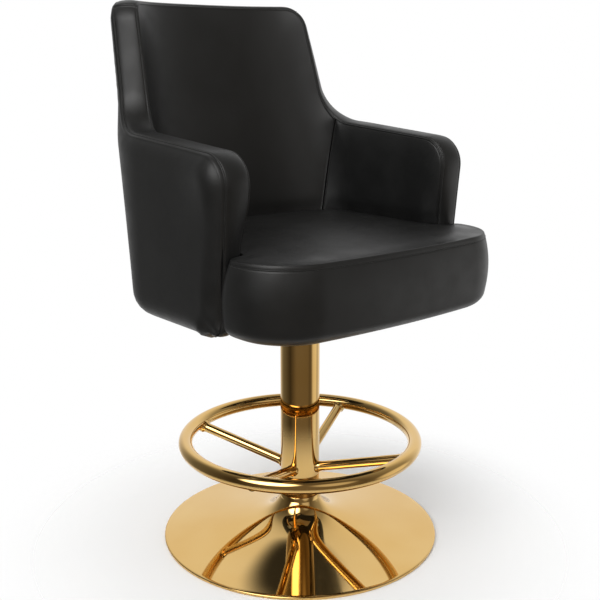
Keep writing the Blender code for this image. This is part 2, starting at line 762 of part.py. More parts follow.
def smooth(share):
    """Eases a share from 0 to 1."""
    share = min(1.0, max(0.0, share))
    return share * share * (3 - 2 * share)


def shell_point(length, height, depth):
    """A point of the shell: length along its plan, height, and depth inwards from the outer seams' face."""
    side = -1.0 if length < 0 else 1.0
    reach = abs(length)
    lean = max(0.0, ARM_TOP - height) * ARM_FRONT_LEAN
    reach -= lean * smooth((reach - ARM_LEAN_LENGTH) / (ARM_FRONT_LENGTH - ARM_LEAN_LENGTH))
    x, y = plan_place(reach)
    step = SHELL_HALF_WIDTH / PLAN_STEPS
    ahead = plan_place(reach + step)
    behind = plan_place(max(0.0, reach - step))
    along = Vector((ahead[0] - behind[0], ahead[1] - behind[1])).normalized()
    if reach < step:
        along = Vector((1, 0))
    share = min(1.0, max(0.0, (y - SHELL_CORNER_START) / SHELL_BACK_DEPTH))
    shift = share * (height - BACK_RECLINE_START) * BACK_RECLINE
    return Vector((side * (x + along.y * depth), y - along.x * depth + shift, height))


def fillet(start, corner, end, radius, steps):
    """Points of a round corner between two straight runs, in a flat frame."""
    to_start = (Vector(start) - Vector(corner)).normalized()
    to_end = (Vector(end) - Vector(corner)).normalized()
    half = to_start.angle(to_end) / 2
    centre = Vector(corner) + (to_start + to_end).normalized() * (radius / math.sin(half))
    first = Vector(corner) + to_start * (radius / math.tan(half)) - centre
    last = Vector(corner) + to_end * (radius / math.tan(half)) - centre
    turn = first.angle_signed(last)
    points = []
    for i in range(steps):
        points.append(centre + Matrix.Rotation(-turn * i / (steps - 1), 2) @ first)
    return points


def rim_outline(inset=0.0):
    """(length, height) points of the shell's upper edge, from the middle of the back to the arm's front."""
    top = SHELL_TOP - inset
    front = ARM_FRONT_LENGTH - inset
    arm_top = ARM_TOP - inset
    edge = BACK_EDGE_LENGTH - inset
    run = front - edge - BACK_TAPER * BACK_WIDTH_HEIGHT
    corner_height = (arm_top + ARM_TOP_SLOPE * run) / (1 - ARM_TOP_SLOPE * BACK_TAPER)
    corner_length = edge - BACK_TAPER * (corner_height - BACK_WIDTH_HEIGHT)
    shoulder = (edge - BACK_TAPER * (top - BACK_WIDTH_HEIGHT), top)
    inner_corner = (corner_length, corner_height)
    front_corner = (front, arm_top)
    foot = (front, SHELL_BOTTOM)
    top_round = fillet((0, top), shoulder, inner_corner, SHELL_TOP_CORNER - inset, ROUND_STEPS)
    hollow = fillet(shoulder, inner_corner, front_corner, ARM_TO_BACK_RADIUS + inset, ROUND_STEPS + 1)
    front_round = fillet(inner_corner, front_corner, foot, ARM_FRONT_CORNER - inset, ROUND_STEPS + 1)
    points = [Vector((top_round[0].x * share, top)) for share in RIM_TOP_SHARES]
    points += top_round
    points += [top_round[-1].lerp(hollow[0], share) for share in BACK_SIDE_SHARES]
    points += hollow
    points += [hollow[-1].lerp(front_round[0], share) for share in ARM_TOP_SHARES]
    points += front_round
    return points


def rim_height(outline, length):
    """Height of an upper edge above a length along the plan."""
    for before, after in zip(outline, outline[1:]):
        if after.x > before.x and before.x <= length <= after.x:
            return before.y + (after.y - before.y) * (length - before.x) / (after.x - before.x)
    return outline[-1].y


def mirrored_columns(outline):
    """The outline on both sides of the middle, from the -X side to the +X side."""
    left = [Vector((-point.x, point.y)) for point in reversed(outline[1:])]
    return left + list(outline)


RIM = rim_outline()


def lower_round():
    """(height, depth) points of the outer face's round at the bottom, as the rows follow it."""
    points = []
    for angle in LOWER_ROUND_DEG:
        turn = math.radians(angle)
        height = SHELL_BOTTOM + SHELL_LOWER_ROUND * (1 - math.cos(turn))
        points.append((height, SHELL_LOWER_ROUND * (1 - math.sin(turn))))
    return points


LOWER_ROUND = lower_round()


def outer_depth(length, height):
    """Depth of the padded outer face: it bulges, and rounds in at the foot, save at the arm's front."""
    top = rim_height(RIM, abs(length))
    below = smooth((top - height) / OUTER_BULGE_FADE)
    along = smooth((ARM_FRONT_LENGTH - abs(length)) / OUTER_BULGE_FRONT_FADE)
    depth = -OUTER_BULGE * below
    for low, high in zip(LOWER_ROUND, LOWER_ROUND[1:]):
        if height <= high[0]:
            share = max(0.0, (height - low[0]) / (high[0] - low[0]))
            depth += low[1] + (high[1] - low[1]) * share
            break
    return depth * along


def padding_depth(length, height):
    """Depth of the outer padding's face, which keeps clear of the cover and of the frame."""
    deepest = FRAME_DEPTH - FRAME_SLACK - PADDING_LEAST_THICKNESS
    return min(outer_depth(length, height) + COVER_THICKNESS + OUTER_PADDING_SLACK, deepest)


def inner_rows(bottom, top):
    """Heights of a slab's rows on the inside of the shell: its foot, then shares above the lower round."""
    start = LOWER_ROUND[-1][0]
    return [bottom] + [start + (top - start) * share for share in UPPER_ROW_SHARES]


def outer_rows(bottom, top):
    """Heights of a slab's rows on the outside of the shell: the lower round's, then shares of the rest."""
    start = LOWER_ROUND[-1][0]
    rows = [max(bottom, height) for height, depth in LOWER_ROUND]
    return rows + [start + (top - start) * share for share in UPPER_ROW_SHARES]


def below_edge(rows):
    """The same rows for a slab that ends under the edge's padding, so its facets follow the covers'."""
    drop = EDGE_PAD_WIDTH - COVER_THICKNESS - GAP
    return lambda bottom, top: rows(bottom, top + drop)[:-1] + [top]


def sheet_slab(name, columns, rows, bottom, face_depth, back_depth, material):
    """A closed curved slab: a grid on its outer face, a grid on its inner face and a wall round the edge."""
    mesh_data = bmesh.new()
    row_count = len(rows(bottom, SHELL_TOP))
    faces = []
    for depth in (face_depth, back_depth):
        grid = []
        for column in columns:
            heights = rows(bottom, column.y)
            places = [shell_point(column.x, height, depth(column.x, height)) for height in heights]
            grid.append([mesh_data.verts.new(place) for place in places])
        faces.append(grid)
    outer, inner = faces
    for grid in faces:
        for before, after in zip(grid, grid[1:]):
            for row in range(row_count - 1):
                split_face(mesh_data, (before[row], after[row], after[row + 1], before[row + 1]))
    border = [(0, row) for row in range(row_count)]
    border += [(column, row_count - 1) for column in range(1, len(columns))]
    border += [(len(columns) - 1, row) for row in range(row_count - 2, -1, -1)]
    border += [(column, 0) for column in range(len(columns) - 2, 0, -1)]
    for before, after in zip(border, border[1:] + border[:1]):
        mesh_data.faces.new(
            (
                outer[before[0]][before[1]],
                outer[after[0]][after[1]],
                inner[after[0]][after[1]],
                inner[before[0]][before[1]],
            )
        )
    return finish_object(name, mesh_data, material)


def with_seams(outline):
    """An outline with one more point where the inside seams stand, so all layers share their columns."""
    seam = Vector((PANEL_SEAM_LENGTH, rim_height(outline, PANEL_SEAM_LENGTH)))
    return sorted(outline + [seam], key=lambda point: point.x)


def panel_columns(outline, start, end):
    """Columns under an outline between two places along the shell, ends included."""
    between = [column for column in mirrored_columns(outline) if start < column.x < end]
    ends = [Vector((length, rim_height(outline, abs(length)))) for length in (start, end)]
    return [ends[0], *between, ends[1]]


def make_shell(materials):
    """Frame, padding and covers of the back and arms."""
    pad_rim = with_seams(rim_outline(EDGE_PAD_WIDTH))
    pad_columns = mirrored_columns(pad_rim)
    frame_bottom = BOARD_BOTTOM
    sheet_slab(
        "shell_frame",
        pad_columns,
        below_edge(inner_rows),
        frame_bottom,
        lambda length, height: FRAME_DEPTH,
        lambda length, height: FRAME_INNER_DEPTH,
        materials["plywood"],
    )
    sheet_slab(
        "outer_padding",
        pad_columns,
        below_edge(outer_rows),
        frame_bottom,
        padding_depth,
        lambda length, height: FRAME_DEPTH - FRAME_SLACK,
        materials["foam"],
    )
    cover_rim = with_seams(rim_outline(COVER_THICKNESS + GAP))
    sheet_slab(
        "outer_cover",
        mirrored_columns(cover_rim),
        outer_rows,
        SHELL_BOTTOM,
        outer_depth,
        lambda length, height: outer_depth(length, height) + COVER_THICKNESS,
        materials["leather"],
    )

    half_gap = GAP / 2
    seam = PANEL_SEAM_LENGTH
    pad_end = pad_rim[-1].x
    cover_end = cover_rim[-1].x
    inner_face = SHELL_THICKNESS - COVER_THICKNESS
    pad_face = FRAME_INNER_DEPTH + GAP
    panels = {
        "back": (seam - half_gap, half_gap - seam, half_gap - seam),
        "right_arm": (seam + half_gap, pad_end, cover_end),
        "left_arm": (-seam - half_gap, -pad_end, -cover_end),
    }
    for place, (start, pad_stop, cover_stop) in panels.items():
        sheet_slab(
            f"{place}_padding",
            panel_columns(pad_rim, *sorted((start, pad_stop))),
            below_edge(inner_rows),
            frame_bottom,
            lambda length, height: pad_face,
            lambda length, height: inner_face - PADDING_SLACK,
            materials["foam"],
        )
        sheet_slab(
            f"{place}_cover",
            panel_columns(cover_rim, *sorted((start, cover_stop))),
            inner_rows,
            frame_bottom,
            lambda length, height: inner_face,
            lambda length, height: SHELL_THICKNESS,
            materials["leather"],
        )
    make_edge(materials)
    make_straps(materials)


def edge_line(inset):
    """(length, height) along the whole rim at an inset, from one arm's foot to the other's."""
    half = rim_outline(inset)
    foot = Vector((half[-1].x, SHELL_BOTTOM))
    half += [half[-1].lerp(foot, share) for share in FRONT_EDGE_SHARES]
    return mirrored_columns(half)


def make_edge_strip(name, section, material):
    """A strip along the rim whose section is a loop of (share of the shell's thickness, inset)."""
    lines = [edge_line(inset) for share, inset in section]
    rings = []
    for stations in zip(*lines):
        ring = []
        for (share, inset), place in zip(section, stations):
            ring.append(shell_point(place.x, place.y, SHELL_THICKNESS * share))
        rings.append(ring)
    mesh_data = bmesh.new()
    lofted(mesh_data, rings)
    finish_object(name, mesh_data, material)


def make_edge(materials):
    """Padded strip that runs round the open edge of the shell, and its sewn cover."""
    top = [-EDGE_BAND_CROWN * share for share in BAND_CROWN_SHARES]
    section = list(zip(BAND_WIDTH_SHARES, top))
    section += [(share, COVER_THICKNESS + inset) for share, inset in reversed(section)]
    make_edge_strip("edge_band", section, materials["leather"])

    under = COVER_THICKNESS + PADDING_SLACK
    skin = under / SHELL_THICKNESS
    depth = EDGE_PAD_WIDTH - EDGE_PAD_SLACK
    section = [(skin, under), (MIDDLE_SHARE, under - EDGE_BAND_CROWN), (1 - skin, under)]
    section += [(1 - skin, depth), (skin, depth)]
    make_edge_strip("edge_padding", section, materials["foam"])


def strap_places():
    """(length along the shell, name) of the straps that join the shell's frame to the seat board."""
    side = plan_length_at_y(STRAP_SIDE_PLACE)
    return [(-side, "left"), (0.0, "rear"), (side, "right")]


def strap_block(mesh_data, length, grow):
    """A flat strap under the frame and the board, or the room for it."""
    level = BOARD_BOTTOM - GAP
    outer = shell_point(length, BOARD_BOTTOM, FRAME_DEPTH + STRAP_FRAME_INSET - grow)
    inner = shell_point(length, BOARD_BOTTOM, SHELL_THICKNESS + SEAT_TO_SHELL + STRAP_SEAT_INSET + grow)
    along = (inner - outer).normalized()
    across = Vector((-along.y, along.x, 0)) * (STRAP_HALF_WIDTH + grow)
    corners = [outer - across, inner - across, inner + across, outer + across]
    for corner in corners:
        corner.z = 0
    rise = Vector((0, 0, 1))
    levels = (level - STRAP_THICKNESS - grow, level + grow)
    lofted(mesh_data, [[corner + rise * at for corner in corners] for at in levels])


def make_straps(materials):
    """Steel straps under the shell and seat, each with a screw up into the frame and one into the board."""
    steel = materials["steel"]
    bottom = BOARD_BOTTOM - GAP - STRAP_THICKNESS
    seat = bottom - GAP
    tip = seat + STRAP_SCREW_LENGTH
    board_screw_depth = SHELL_THICKNESS + SEAT_TO_SHELL + STRAP_SCREW_INSET
    depths = (FRAME_DEPTH + FRAME_THICKNESS / 2, board_screw_depth)
    rings = [
        circle(STRAP_SCREW_HEAD_RADIUS, seat - STRAP_SCREW_HEAD_HEIGHT, SCREW_SEGMENTS),
        circle(STRAP_SCREW_HEAD_RADIUS, seat, SCREW_SEGMENTS),
        circle(STRAP_SCREW_RADIUS, seat, SCREW_SEGMENTS),
        circle(STRAP_SCREW_RADIUS, tip, SCREW_SEGMENTS),
    ]
    mesh_data = bmesh.new()
    lofted(mesh_data, rings)
    screw = finish_object("strap_screw", mesh_data, steel)
    lengths = [length for length, name in strap_places()]
    places = [shell_point(length, BOARD_BOTTOM, depth) for length in lengths for depth in depths]
    centres = [(place.x, place.y) for place in places]
    repeat(screw, centres)
    hole = STRAP_SCREW_RADIUS + GAP
    below = bottom - CUT_OVERRUN
    holes = hole_cutter("screw_cutter", hole, below, tip + GAP, centres, steel, SCREW_SEGMENTS)
    for length, name in strap_places():
        mesh_data = bmesh.new()
        strap_block(mesh_data, length, 0.0)
        cut(finish_object(f"{name}_strap", mesh_data, steel), holes)
    for name in ("shell_frame", "seat_board"):
        cut(bpy.data.objects[name], holes)
    mesh_data = bmesh.new()
    for length, name in strap_places():
        strap_block(mesh_data, length, GAP)
    cut(bpy.data.objects["seat_side_cover"], hide_cutter(finish_object("strap_cutter", mesh_data, steel)))


def arc_points(centre, radius, start_deg, end_deg, steps):
    """Points of an arc in plan."""
    points = []
    for i in range(steps):
        angle = math.radians(start_deg + (end_deg - start_deg) * i / (steps - 1))
        points.append(Vector((centre[0] + radius * math.cos(angle), centre[1] + radius * math.sin(angle))))
    return points


def seat_outline(inset, height):
    """Plan of the tee-shaped cushion on the +X side, from the front's middle to the back's middle."""
    half = SEAT_HALF_WIDTH - inset
    front = -SEAT_FRONT + inset
    corner = SEAT_FRONT_CORNER - inset
    corner_y = front + SEAT_FRONT_BOW + corner
    points = [Vector((0, front))]
    points.append(Vector(((half - corner) / 2, front + SEAT_FRONT_BOW / 4)))
    points += arc_points((half - corner, corner_y), corner, -90, 0, ROUND_STEPS + 2)
    ear = max(SEAT_EAR_CORNER - inset, SEAT_EAR_CORNER * SHARP_CORNER_SHARE)
    rear = -SEAT_EAR_BACK - inset
    points += arc_points((half - ear, rear - ear), ear, 0, 90, ROUND_STEPS)
    depth = SHELL_THICKNESS + SEAT_TO_SHELL + inset
    side = SHELL_HALF_WIDTH - depth
    curve = SEAT_EAR_FILLET + inset
    points += arc_points((side + curve, rear + curve), curve, 270, 180, ROUND_STEPS - 1)
    start = plan_length_at_y(rear + curve)
    for share in BACK_PLAN_SHARES:
        place = shell_point(start * share, height, depth)
        points.append(Vector((place.x, place.y)))
    return points


def both_sides(points):
    """A half outline and its mirror image as one closed loop."""
    return list(points) + [Vector((-point.x, point.y)) for point in reversed(points[1:-1])]


def level_ring(inset, height):
    """The cushion's outline at one height as points in space."""
    return [Vector((point.x, point.y, height)) for point in both_sides(seat_outline(inset, height))]


def crown_height(x, y):
    """Height of the cushion's crowned top."""
    across = 1 - (x / SEAT_HALF_WIDTH) ** 2
    along = 1 - ((y + SEAT_CROWN_CENTRE) / SEAT_CROWN_LENGTH) ** 2
    edge = SEAT_SEAM_HEIGHT + SEAT_TOP_EDGE_RISE
    return edge + SEAT_CROWN * max(0.0, across) * max(0.0, along)


def side_rings(inset, seam_gap, lowest):
    """Rings of the cushion's side: lower round, drawn-in middle and top seam."""
    rings = []
    for step in range(ROUND_STEPS):
        angle = math.pi / 2 * step / (ROUND_STEPS - 1)
        inward = SEAT_LOWER_ROUND * (1 - math.sin(angle))
        height = lowest + SEAT_LOWER_ROUND * (1 - math.cos(angle))
        rings.append(level_ring(inset + inward, height))
    start = lowest + SEAT_LOWER_ROUND
    end = SEAT_SEAM_HEIGHT - seam_gap
    for share in SIDE_RING_SHARES:
        draw = SEAT_SIDE_DRAW * math.sin(math.pi * share)
        rings.append(level_ring(inset + draw, start + (end - start) * share))
    rings.append(level_ring(inset, end))
    return rings


def top_rings(inset, drop, seam_gap):
    """Rings of the cushion's top, from the seam over its round edge to the crown's last ring."""
    rings = [level_ring(inset, SEAT_SEAM_HEIGHT + seam_gap)]
    for share in TOP_EDGE_SHARES:
        ring = level_ring(inset + SEAT_TOP_EDGE_ROUND * share, SEAT_SEAM_HEIGHT)
        ease = math.sqrt(1 - (1 - share) ** 2)
        for point in ring:
            target = crown_height(point.x, point.y) - drop
            start = SEAT_SEAM_HEIGHT + seam_gap
            point.z = start + (target - start) * ease
        rings.append(ring)
    edge = level_ring(inset + SEAT_TOP_EDGE_ROUND, SEAT_SEAM_HEIGHT)
    for share in CROWN_RING_SHARES:
        ring = []
        for point in edge:
            x = point.x * share
            y = -SEAT_FAN_CENTRE + (point.y + SEAT_FAN_CENTRE) * share
            ring.append(Vector((x, y, crown_height(x, y) - drop)))
        rings.append(ring)
    return rings


def fan(mesh_data, loop, centre):
    """Closes a loop with triangles to one middle point."""
    middle = mesh_data.verts.new(centre)
    for i in range(len(loop)):
        mesh_data.faces.new((loop[i - 1], loop[i], middle))


def lining_ring(height):
    """Outline of the lining: as wide as the seat between the arms, inside the covers' turned edges."""
    depth = SHELL_THICKNESS + SEAT_TO_SHELL + DUST_COVER_INSET
    side = SHELL_HALF_WIDTH - depth
    front = -SEAT_FRONT + DUST_COVER_INSET
    corner = SEAT_FRONT_CORNER - DUST_COVER_INSET
    points = [Vector((0, front))]
    points += arc_points((side - corner, front + corner), corner, -90, 0, ROUND_STEPS + 2)
    for share in BACK_PLAN_SHARES[1:]:
        place = shell_point(plan_length_at_y(front) * share, height, depth)
        points.append(Vector((place.x, place.y)))
    return [Vector((point.x, point.y, height)) for point in both_sides(points)]


def make_seat(materials):
    """Seat board, foam, the two sewn covers and the lining under the board."""
    board_ring = [level_ring(BOARD_INSET, level) for level in (BOARD_BOTTOM, BOARD_TOP)]
    mesh_data = bmesh.new()
    lofted(mesh_data, board_ring, split=True)
    board = finish_object("seat_board", mesh_data, materials["plywood"])
    below = BOARD_BOTTOM - CUT_OVERRUN
    above = BOARD_TOP + CUT_OVERRUN
    barrel_hole = TEE_NUT_BARREL_RADIUS + GAP
    flange_floor = BOARD_TOP - TEE_NUT_FLANGE_THICKNESS - GAP
    flange_hole = TEE_NUT_FLANGE_RADIUS + GAP
    plywood = materials["plywood"]
    cut(board, hole_cutter("barrel_cutter", barrel_hole, below, above, plate_corners(), plywood))
    cut(board, hole_cutter("flange_cutter", flange_hole, flange_floor, above, plate_corners(), plywood))

    lowest = SHELL_BOTTOM
    skin = COVER_THICKNESS
    half_gap = GAP / 2
    outer = [level_ring(SEAT_LIP, lowest)] + side_rings(0, half_gap, lowest)
    inner = [level_ring(SEAT_LIP, lowest + skin)] + side_rings(skin, half_gap, lowest + skin)
    mesh_data = bmesh.new()
    for rings in (outer, inner, [outer[0], inner[0]], [outer[-1], inner[-1]]):
        lofted(mesh_data, rings, False, False, split=True)
    finish_object("seat_side_cover", mesh_data, materials["leather"])

    mesh_data = bmesh.new()
    outer = lofted(mesh_data, top_rings(0, 0, half_gap), False, False, split=True)
    inner = lofted(mesh_data, top_rings(skin, skin, half_gap), False, False, split=True)
    for i in range(len(outer[0])):
        split_face(mesh_data, (outer[0][i - 1], outer[0][i], inner[0][i], inner[0][i - 1]))
    centre = Vector((0, -SEAT_FAN_CENTRE, crown_height(0, -SEAT_FAN_CENTRE)))
    fan(mesh_data, outer[-1], centre)
    fan(mesh_data, inner[-1], centre - Vector((0, 0, skin)))
    finish_object("seat_top_cover", mesh_data, materials["leather"])

    under = skin + GAP
    mesh_data = bmesh.new()
    rings = side_rings(under, 0, lowest + under + FOAM_LIFT)[:-1] + top_rings(under, under, 0)
    loops = lofted(mesh_data, rings, closed_end=False, split=True)
    fan(mesh_data, loops[-1], centre - Vector((0, 0, under)))
    foam = finish_object("seat_foam", mesh_data, materials["foam"])
    mesh_data = bmesh.new()
    levels = (lowest - CUT_OVERRUN, BOARD_TOP + GAP)
    lofted(mesh_data, [level_ring(BOARD_INSET - BOARD_CLEARANCE, level) for level in levels], split=True)
    cut(foam, hide_cutter(finish_object("board_cutter", mesh_data, materials["foam"])))

    lining_top = BOARD_BOTTOM - GAP
    mesh_data = bmesh.new()
    levels = (lining_top - DUST_COVER_THICKNESS, lining_top)
    lofted(mesh_data, [lining_ring(level) for level in levels])
    lining = finish_object("dust_cover", mesh_data, materials["lining"])
    mesh_data = bmesh.new()
    levels = (lining_top - CUT_OVERRUN, lining_top + CUT_OVERRUN)
    side = SWIVEL_PLATE_SIDE + GAP + GAP
    lofted(mesh_data, [rounded_square(side, SWIVEL_PLATE_CORNER, level) for level in levels])
    cut(lining, hide_cutter(finish_object("plate_window_cutter", mesh_data, materials["lining"])))


def place_on_swivel():
    """Parents what turns to empties on the swivel axis: the seat, and the bearing's cage and balls."""
    standing = ("floor_", "base_", "column_", "foot_", "spoke_", "bearing_housing", "upper_bush", "lower_")
    axes = {}
    for name in ("seat_axis", "cage_axis"):
        axes[name] = bpy.data.objects.new(name, None)
        bpy.context.scene.collection.objects.link(axes[name])
    for item in bpy.data.objects:
        if item.type != "MESH" or item.hide_render or item.name.startswith(standing):
            continue
        in_cage = item.name.startswith(("ball_cage", "bearing_ball"))
        item.parent = axes["cage_axis" if in_cage else "seat_axis"]


def main():
    """Builds the stool from the floor up."""
    clear_scene()
    materials = make_materials()
    make_base(materials)
    make_column(materials)
    make_footrest(materials)
    make_swivel_stand(materials)
    make_bearing_cage(materials)
    make_swivel_seat(materials)
    make_seat(materials)
    make_shell(materials)
    place_on_swivel()


main()
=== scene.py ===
"""Dresses the gaming stool: mirror-gold trumpet base, column and foot ring under a black bucket seat.

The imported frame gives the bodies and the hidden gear. Every upholstered and gold surface is built here as
smooth geometry with its own finish, in the same metres and axes: +Z up, the seat facing -Y at rest.
"""

from __future__ import annotations

import json
import logging
import math
from collections.abc import Callable, Sequence
from dataclasses import dataclass, field
from enum import Enum

import bpy
import numpy as np
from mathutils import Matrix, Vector
from mathutils.geometry import delaunay_2d_cdt

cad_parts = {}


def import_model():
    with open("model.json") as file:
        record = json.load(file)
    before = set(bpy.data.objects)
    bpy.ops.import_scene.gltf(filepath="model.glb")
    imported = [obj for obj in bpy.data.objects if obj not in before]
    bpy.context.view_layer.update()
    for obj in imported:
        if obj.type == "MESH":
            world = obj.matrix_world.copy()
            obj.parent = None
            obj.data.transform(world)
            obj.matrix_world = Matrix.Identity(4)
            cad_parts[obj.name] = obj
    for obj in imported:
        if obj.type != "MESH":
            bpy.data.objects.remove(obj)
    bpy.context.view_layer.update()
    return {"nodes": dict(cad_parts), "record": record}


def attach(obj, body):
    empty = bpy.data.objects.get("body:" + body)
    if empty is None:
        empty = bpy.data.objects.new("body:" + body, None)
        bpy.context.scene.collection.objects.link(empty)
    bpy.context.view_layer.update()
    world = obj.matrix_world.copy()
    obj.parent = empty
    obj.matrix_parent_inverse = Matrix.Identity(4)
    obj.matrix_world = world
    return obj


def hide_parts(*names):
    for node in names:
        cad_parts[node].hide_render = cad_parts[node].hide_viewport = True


log = logging.getLogger("stool")

Array = np.ndarray
Face = tuple[int, ...]
Mesh = tuple[Array, list[Face]]
Triple = tuple[float, float, float]
StitchRow = tuple[Array, Array, Array]
Material = bpy.types.Material
Piece = bpy.types.Object
Socket = bpy.types.NodeSocket
Place = Callable[[Array, Array, Array], Array]


class Body(Enum):
    """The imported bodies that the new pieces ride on."""

    STAND = "stand"
    SEAT = "seat"


class Slot(Enum):
    """The record's material slots of the new pieces."""

    GOLD = "polished_gold"
    LEATHER = "black_leather"


# Finishes


class Shader:
    """A small wrapper round a material's node tree."""

    def __init__(self, name: str) -> None:
        """Starts a material from a Principled shader and the object's own coordinates.

        Args:
            name: the material's name.
        """
        self.material = bpy.data.materials.new(name)
        self.material.use_nodes = True
        self.tree = self.material.node_tree
        self.principled = self.tree.nodes["Principled BSDF"]
        coordinates = self.tree.nodes.new("ShaderNodeTexCoord")
        self.position = coordinates.outputs["Object"]

    def set(self, **values: float | tuple[float, ...]) -> None:
        """Sets sockets of the Principled shader by name, with underscores for spaces.

        Args:
            values: each socket's constant.
        """
        for name, value in values.items():
            socket = self.principled.inputs[name.replace("_", " ")]
            socket.default_value = (*value, 1.0) if isinstance(value, tuple) else value

    def add(
        self, kind: str, inputs: dict[str | int, object] | None = None, **settings: object
    ) -> bpy.types.Node:
        """Adds a node.

        Args:
            kind: the node's type without its ShaderNode prefix.
            inputs: constants or sockets by input name.
            settings: the node's own properties.

        Returns:
            The new node.
        """
        node = self.tree.nodes.new("ShaderNode" + kind)
        for name, value in settings.items():
            setattr(node, name, value)
        for name, value in (inputs or {}).items():
            if isinstance(value, Socket):
                self.tree.links.new(value, node.inputs[name])
            else:
                node.inputs[name].default_value = value
        return node

    def noise(self, scale: float, detail: float = 2.0, stretch: Triple = (1.0, 1.0, 1.0)) -> Socket:
        """Noise over the object's own coordinates.

        Args:
            scale: noise cells per metre.
            detail: octaves.
            stretch: scale of each axis, for brushed or fibrous looks.

        Returns:
            The noise's factor.
        """
        mapping = self.add("Mapping", {"Vector": self.position, "Scale": stretch})
        node = self.add("TexNoise", {"Vector": mapping.outputs[0], "Scale": scale, "Detail": detail})
        return node.outputs["Fac"]

    def pebbles(self, scale: float) -> Socket:
        """Rounded cells over the object's own coordinates.

        Args:
            scale: cells per metre.

        Returns:
            The distance from each cell's middle.
        """
        inputs = {"Vector": self.position, "Scale": scale}
        return self.add("TexVoronoi", inputs, feature="SMOOTH_F1").outputs["Distance"]

    def ramp(self, source: Socket, low: float, high: float, start: float, end: float) -> Socket:
        """Maps a factor from one range to another.

        Args:
            source: the factor.
            low: value that gives start.
            high: value that gives end.
            start: the result at low.
            end: the result at high.

        Returns:
            The mapped value.
        """
        inputs = {"Value": source, "From Min": low, "From Max": high, "To Min": start, "To Max": end}
        return self.add("MapRange", inputs).outputs["Result"]

    def mix(self, factor: Socket, first: Triple, second: Triple) -> Socket:
        """Mixes two colours.

        Args:
            factor: share of the second colour.
            first: linear colour.
            second: linear colour.

        Returns:
            The mixed colour.
        """
        node = self.add("Mix", {"Factor": factor}, data_type="RGBA")
        node.inputs[6].default_value = (*first, 1.0)
        node.inputs[7].default_value = (*second, 1.0)
        return node.outputs[2]

    def link(self, source: Socket, name: str) -> None:
        """Feeds a Principled socket."""
        self.tree.links.new(source, self.principled.inputs[name])

    def bump(self, height: Socket, depth: float, strength: float = 1.0) -> None:
        """Adds a bump on top of any earlier one.

        Args:
            height: the height factor.
            depth: metres that a factor of one stands for.
            strength: share of the effect.
        """
        inputs = {"Height": height, "Distance": depth, "Strength": strength}
        before = self.principled.inputs["Normal"]
        if before.links:
            inputs["Normal"] = before.links[0].from_socket
        self.link(self.add("Bump", inputs).outputs["Normal"], "Normal")


@dataclass(frozen=True)
class MirrorGold:
    """Polished gold plate with a faint haze and the slightest ripple."""

    name: str = "mirror gold"
    colour: Triple = (0.735, 0.490, 0.190)
    deep: Triple = (0.705, 0.450, 0.155)
    roughness: float = 0.035
    patch_scale: float = 7.0
    haze_scale: float = 38.0
    haze_shares: tuple[float, float] = (0.7, 1.7)
    ripple_scale: float = 16.0
    ripple_depth: float = 0.0002
    ripple_strength: float = 0.12

    def material(self) -> Material:
        """Builds the finish.

        Returns:
            Its material.
        """
        shader = Shader(self.name)
        shader.set(Metallic=1.0)
        patches = shader.ramp(shader.noise(self.patch_scale), 0.35, 0.65, 0.0, 1.0)
        shader.link(shader.mix(patches, self.colour, self.deep), "Base Color")
        least, most = (self.roughness * share for share in self.haze_shares)
        shader.link(shader.ramp(shader.noise(self.haze_scale, 4.0), 0.3, 0.7, least, most), "Roughness")
        shader.bump(shader.noise(self.ripple_scale, 1.0), self.ripple_depth, self.ripple_strength)
        return shader.material


@dataclass(frozen=True)
class FauxLeather:
    """Smooth black faux leather: a fine pebble grain under a satin top coat."""

    name: str = "black faux leather"
    colour: Triple = (0.0050, 0.0051, 0.0050)
    light: Triple = (0.0075, 0.0076, 0.0074)
    roughness: float = 0.43
    smoother: float = 0.05
    rougher: float = 0.06
    gloss: float = 0.46
    patch_scale: float = 9.0
    wear_scale: float = 26.0
    grain_scale: float = 1100.0
    grain_depth: float = 0.00010
    pore_scale: float = 420.0
    pore_depth_share: float = 1.6
    dent_scale: float = 21.0
    dent_depth: float = 0.0010

    def material(self) -> Material:
        """Builds the finish.

        Returns:
            Its material.
        """
        shader = Shader(self.name)
        shader.set(Specular_IOR_Level=self.gloss)
        patches = shader.ramp(shader.noise(self.patch_scale, 4.0), 0.35, 0.65, 0.0, 1.0)
        shader.link(shader.mix(patches, self.colour, self.light), "Base Color")
        least, most = self.roughness - self.smoother, self.roughness + self.rougher
        shader.link(shader.ramp(shader.noise(self.wear_scale, 5.0), 0.3, 0.7, least, most), "Roughness")
        shader.bump(shader.pebbles(self.grain_scale), self.grain_depth, 0.55)
        shader.bump(shader.noise(self.pore_scale, 3.0), self.grain_depth * self.pore_depth_share, 0.35)
        shader.bump(shader.noise(self.dent_scale, 2.0), self.dent_depth, 0.14)
        return shader.material


@dataclass(frozen=True)
class SewingThread:
    """Black bonded thread."""

    name: str = "black thread"
    colour: Triple = (0.020, 0.020, 0.019)
    light: Triple = (0.035, 0.035, 0.033)
    roughness: float = 0.55
    patch_scale: float = 900.0
    fibre_scale: float = 2600.0
    fibre_depth: float = 0.0001

    def material(self) -> Material:
        """Builds the finish.

        Returns:
            Its material.
        """
        shader = Shader(self.name)
        shader.set(Roughness=self.roughness)
        shader.link(shader.mix(shader.noise(self.patch_scale), self.colour, self.light), "Base Color")
        shader.bump(shader.noise(self.fibre_scale, 1.0), self.fibre_depth, 0.6)
        return shader.material


class Grain(Enum):
    """How a plain hidden finish is broken up."""

    BRUSHED = (1.0, 1.0, 9.0)
    EVEN = (1.0, 1.0, 1.0)
    FIBROUS = (14.0, 1.0, 1.0)


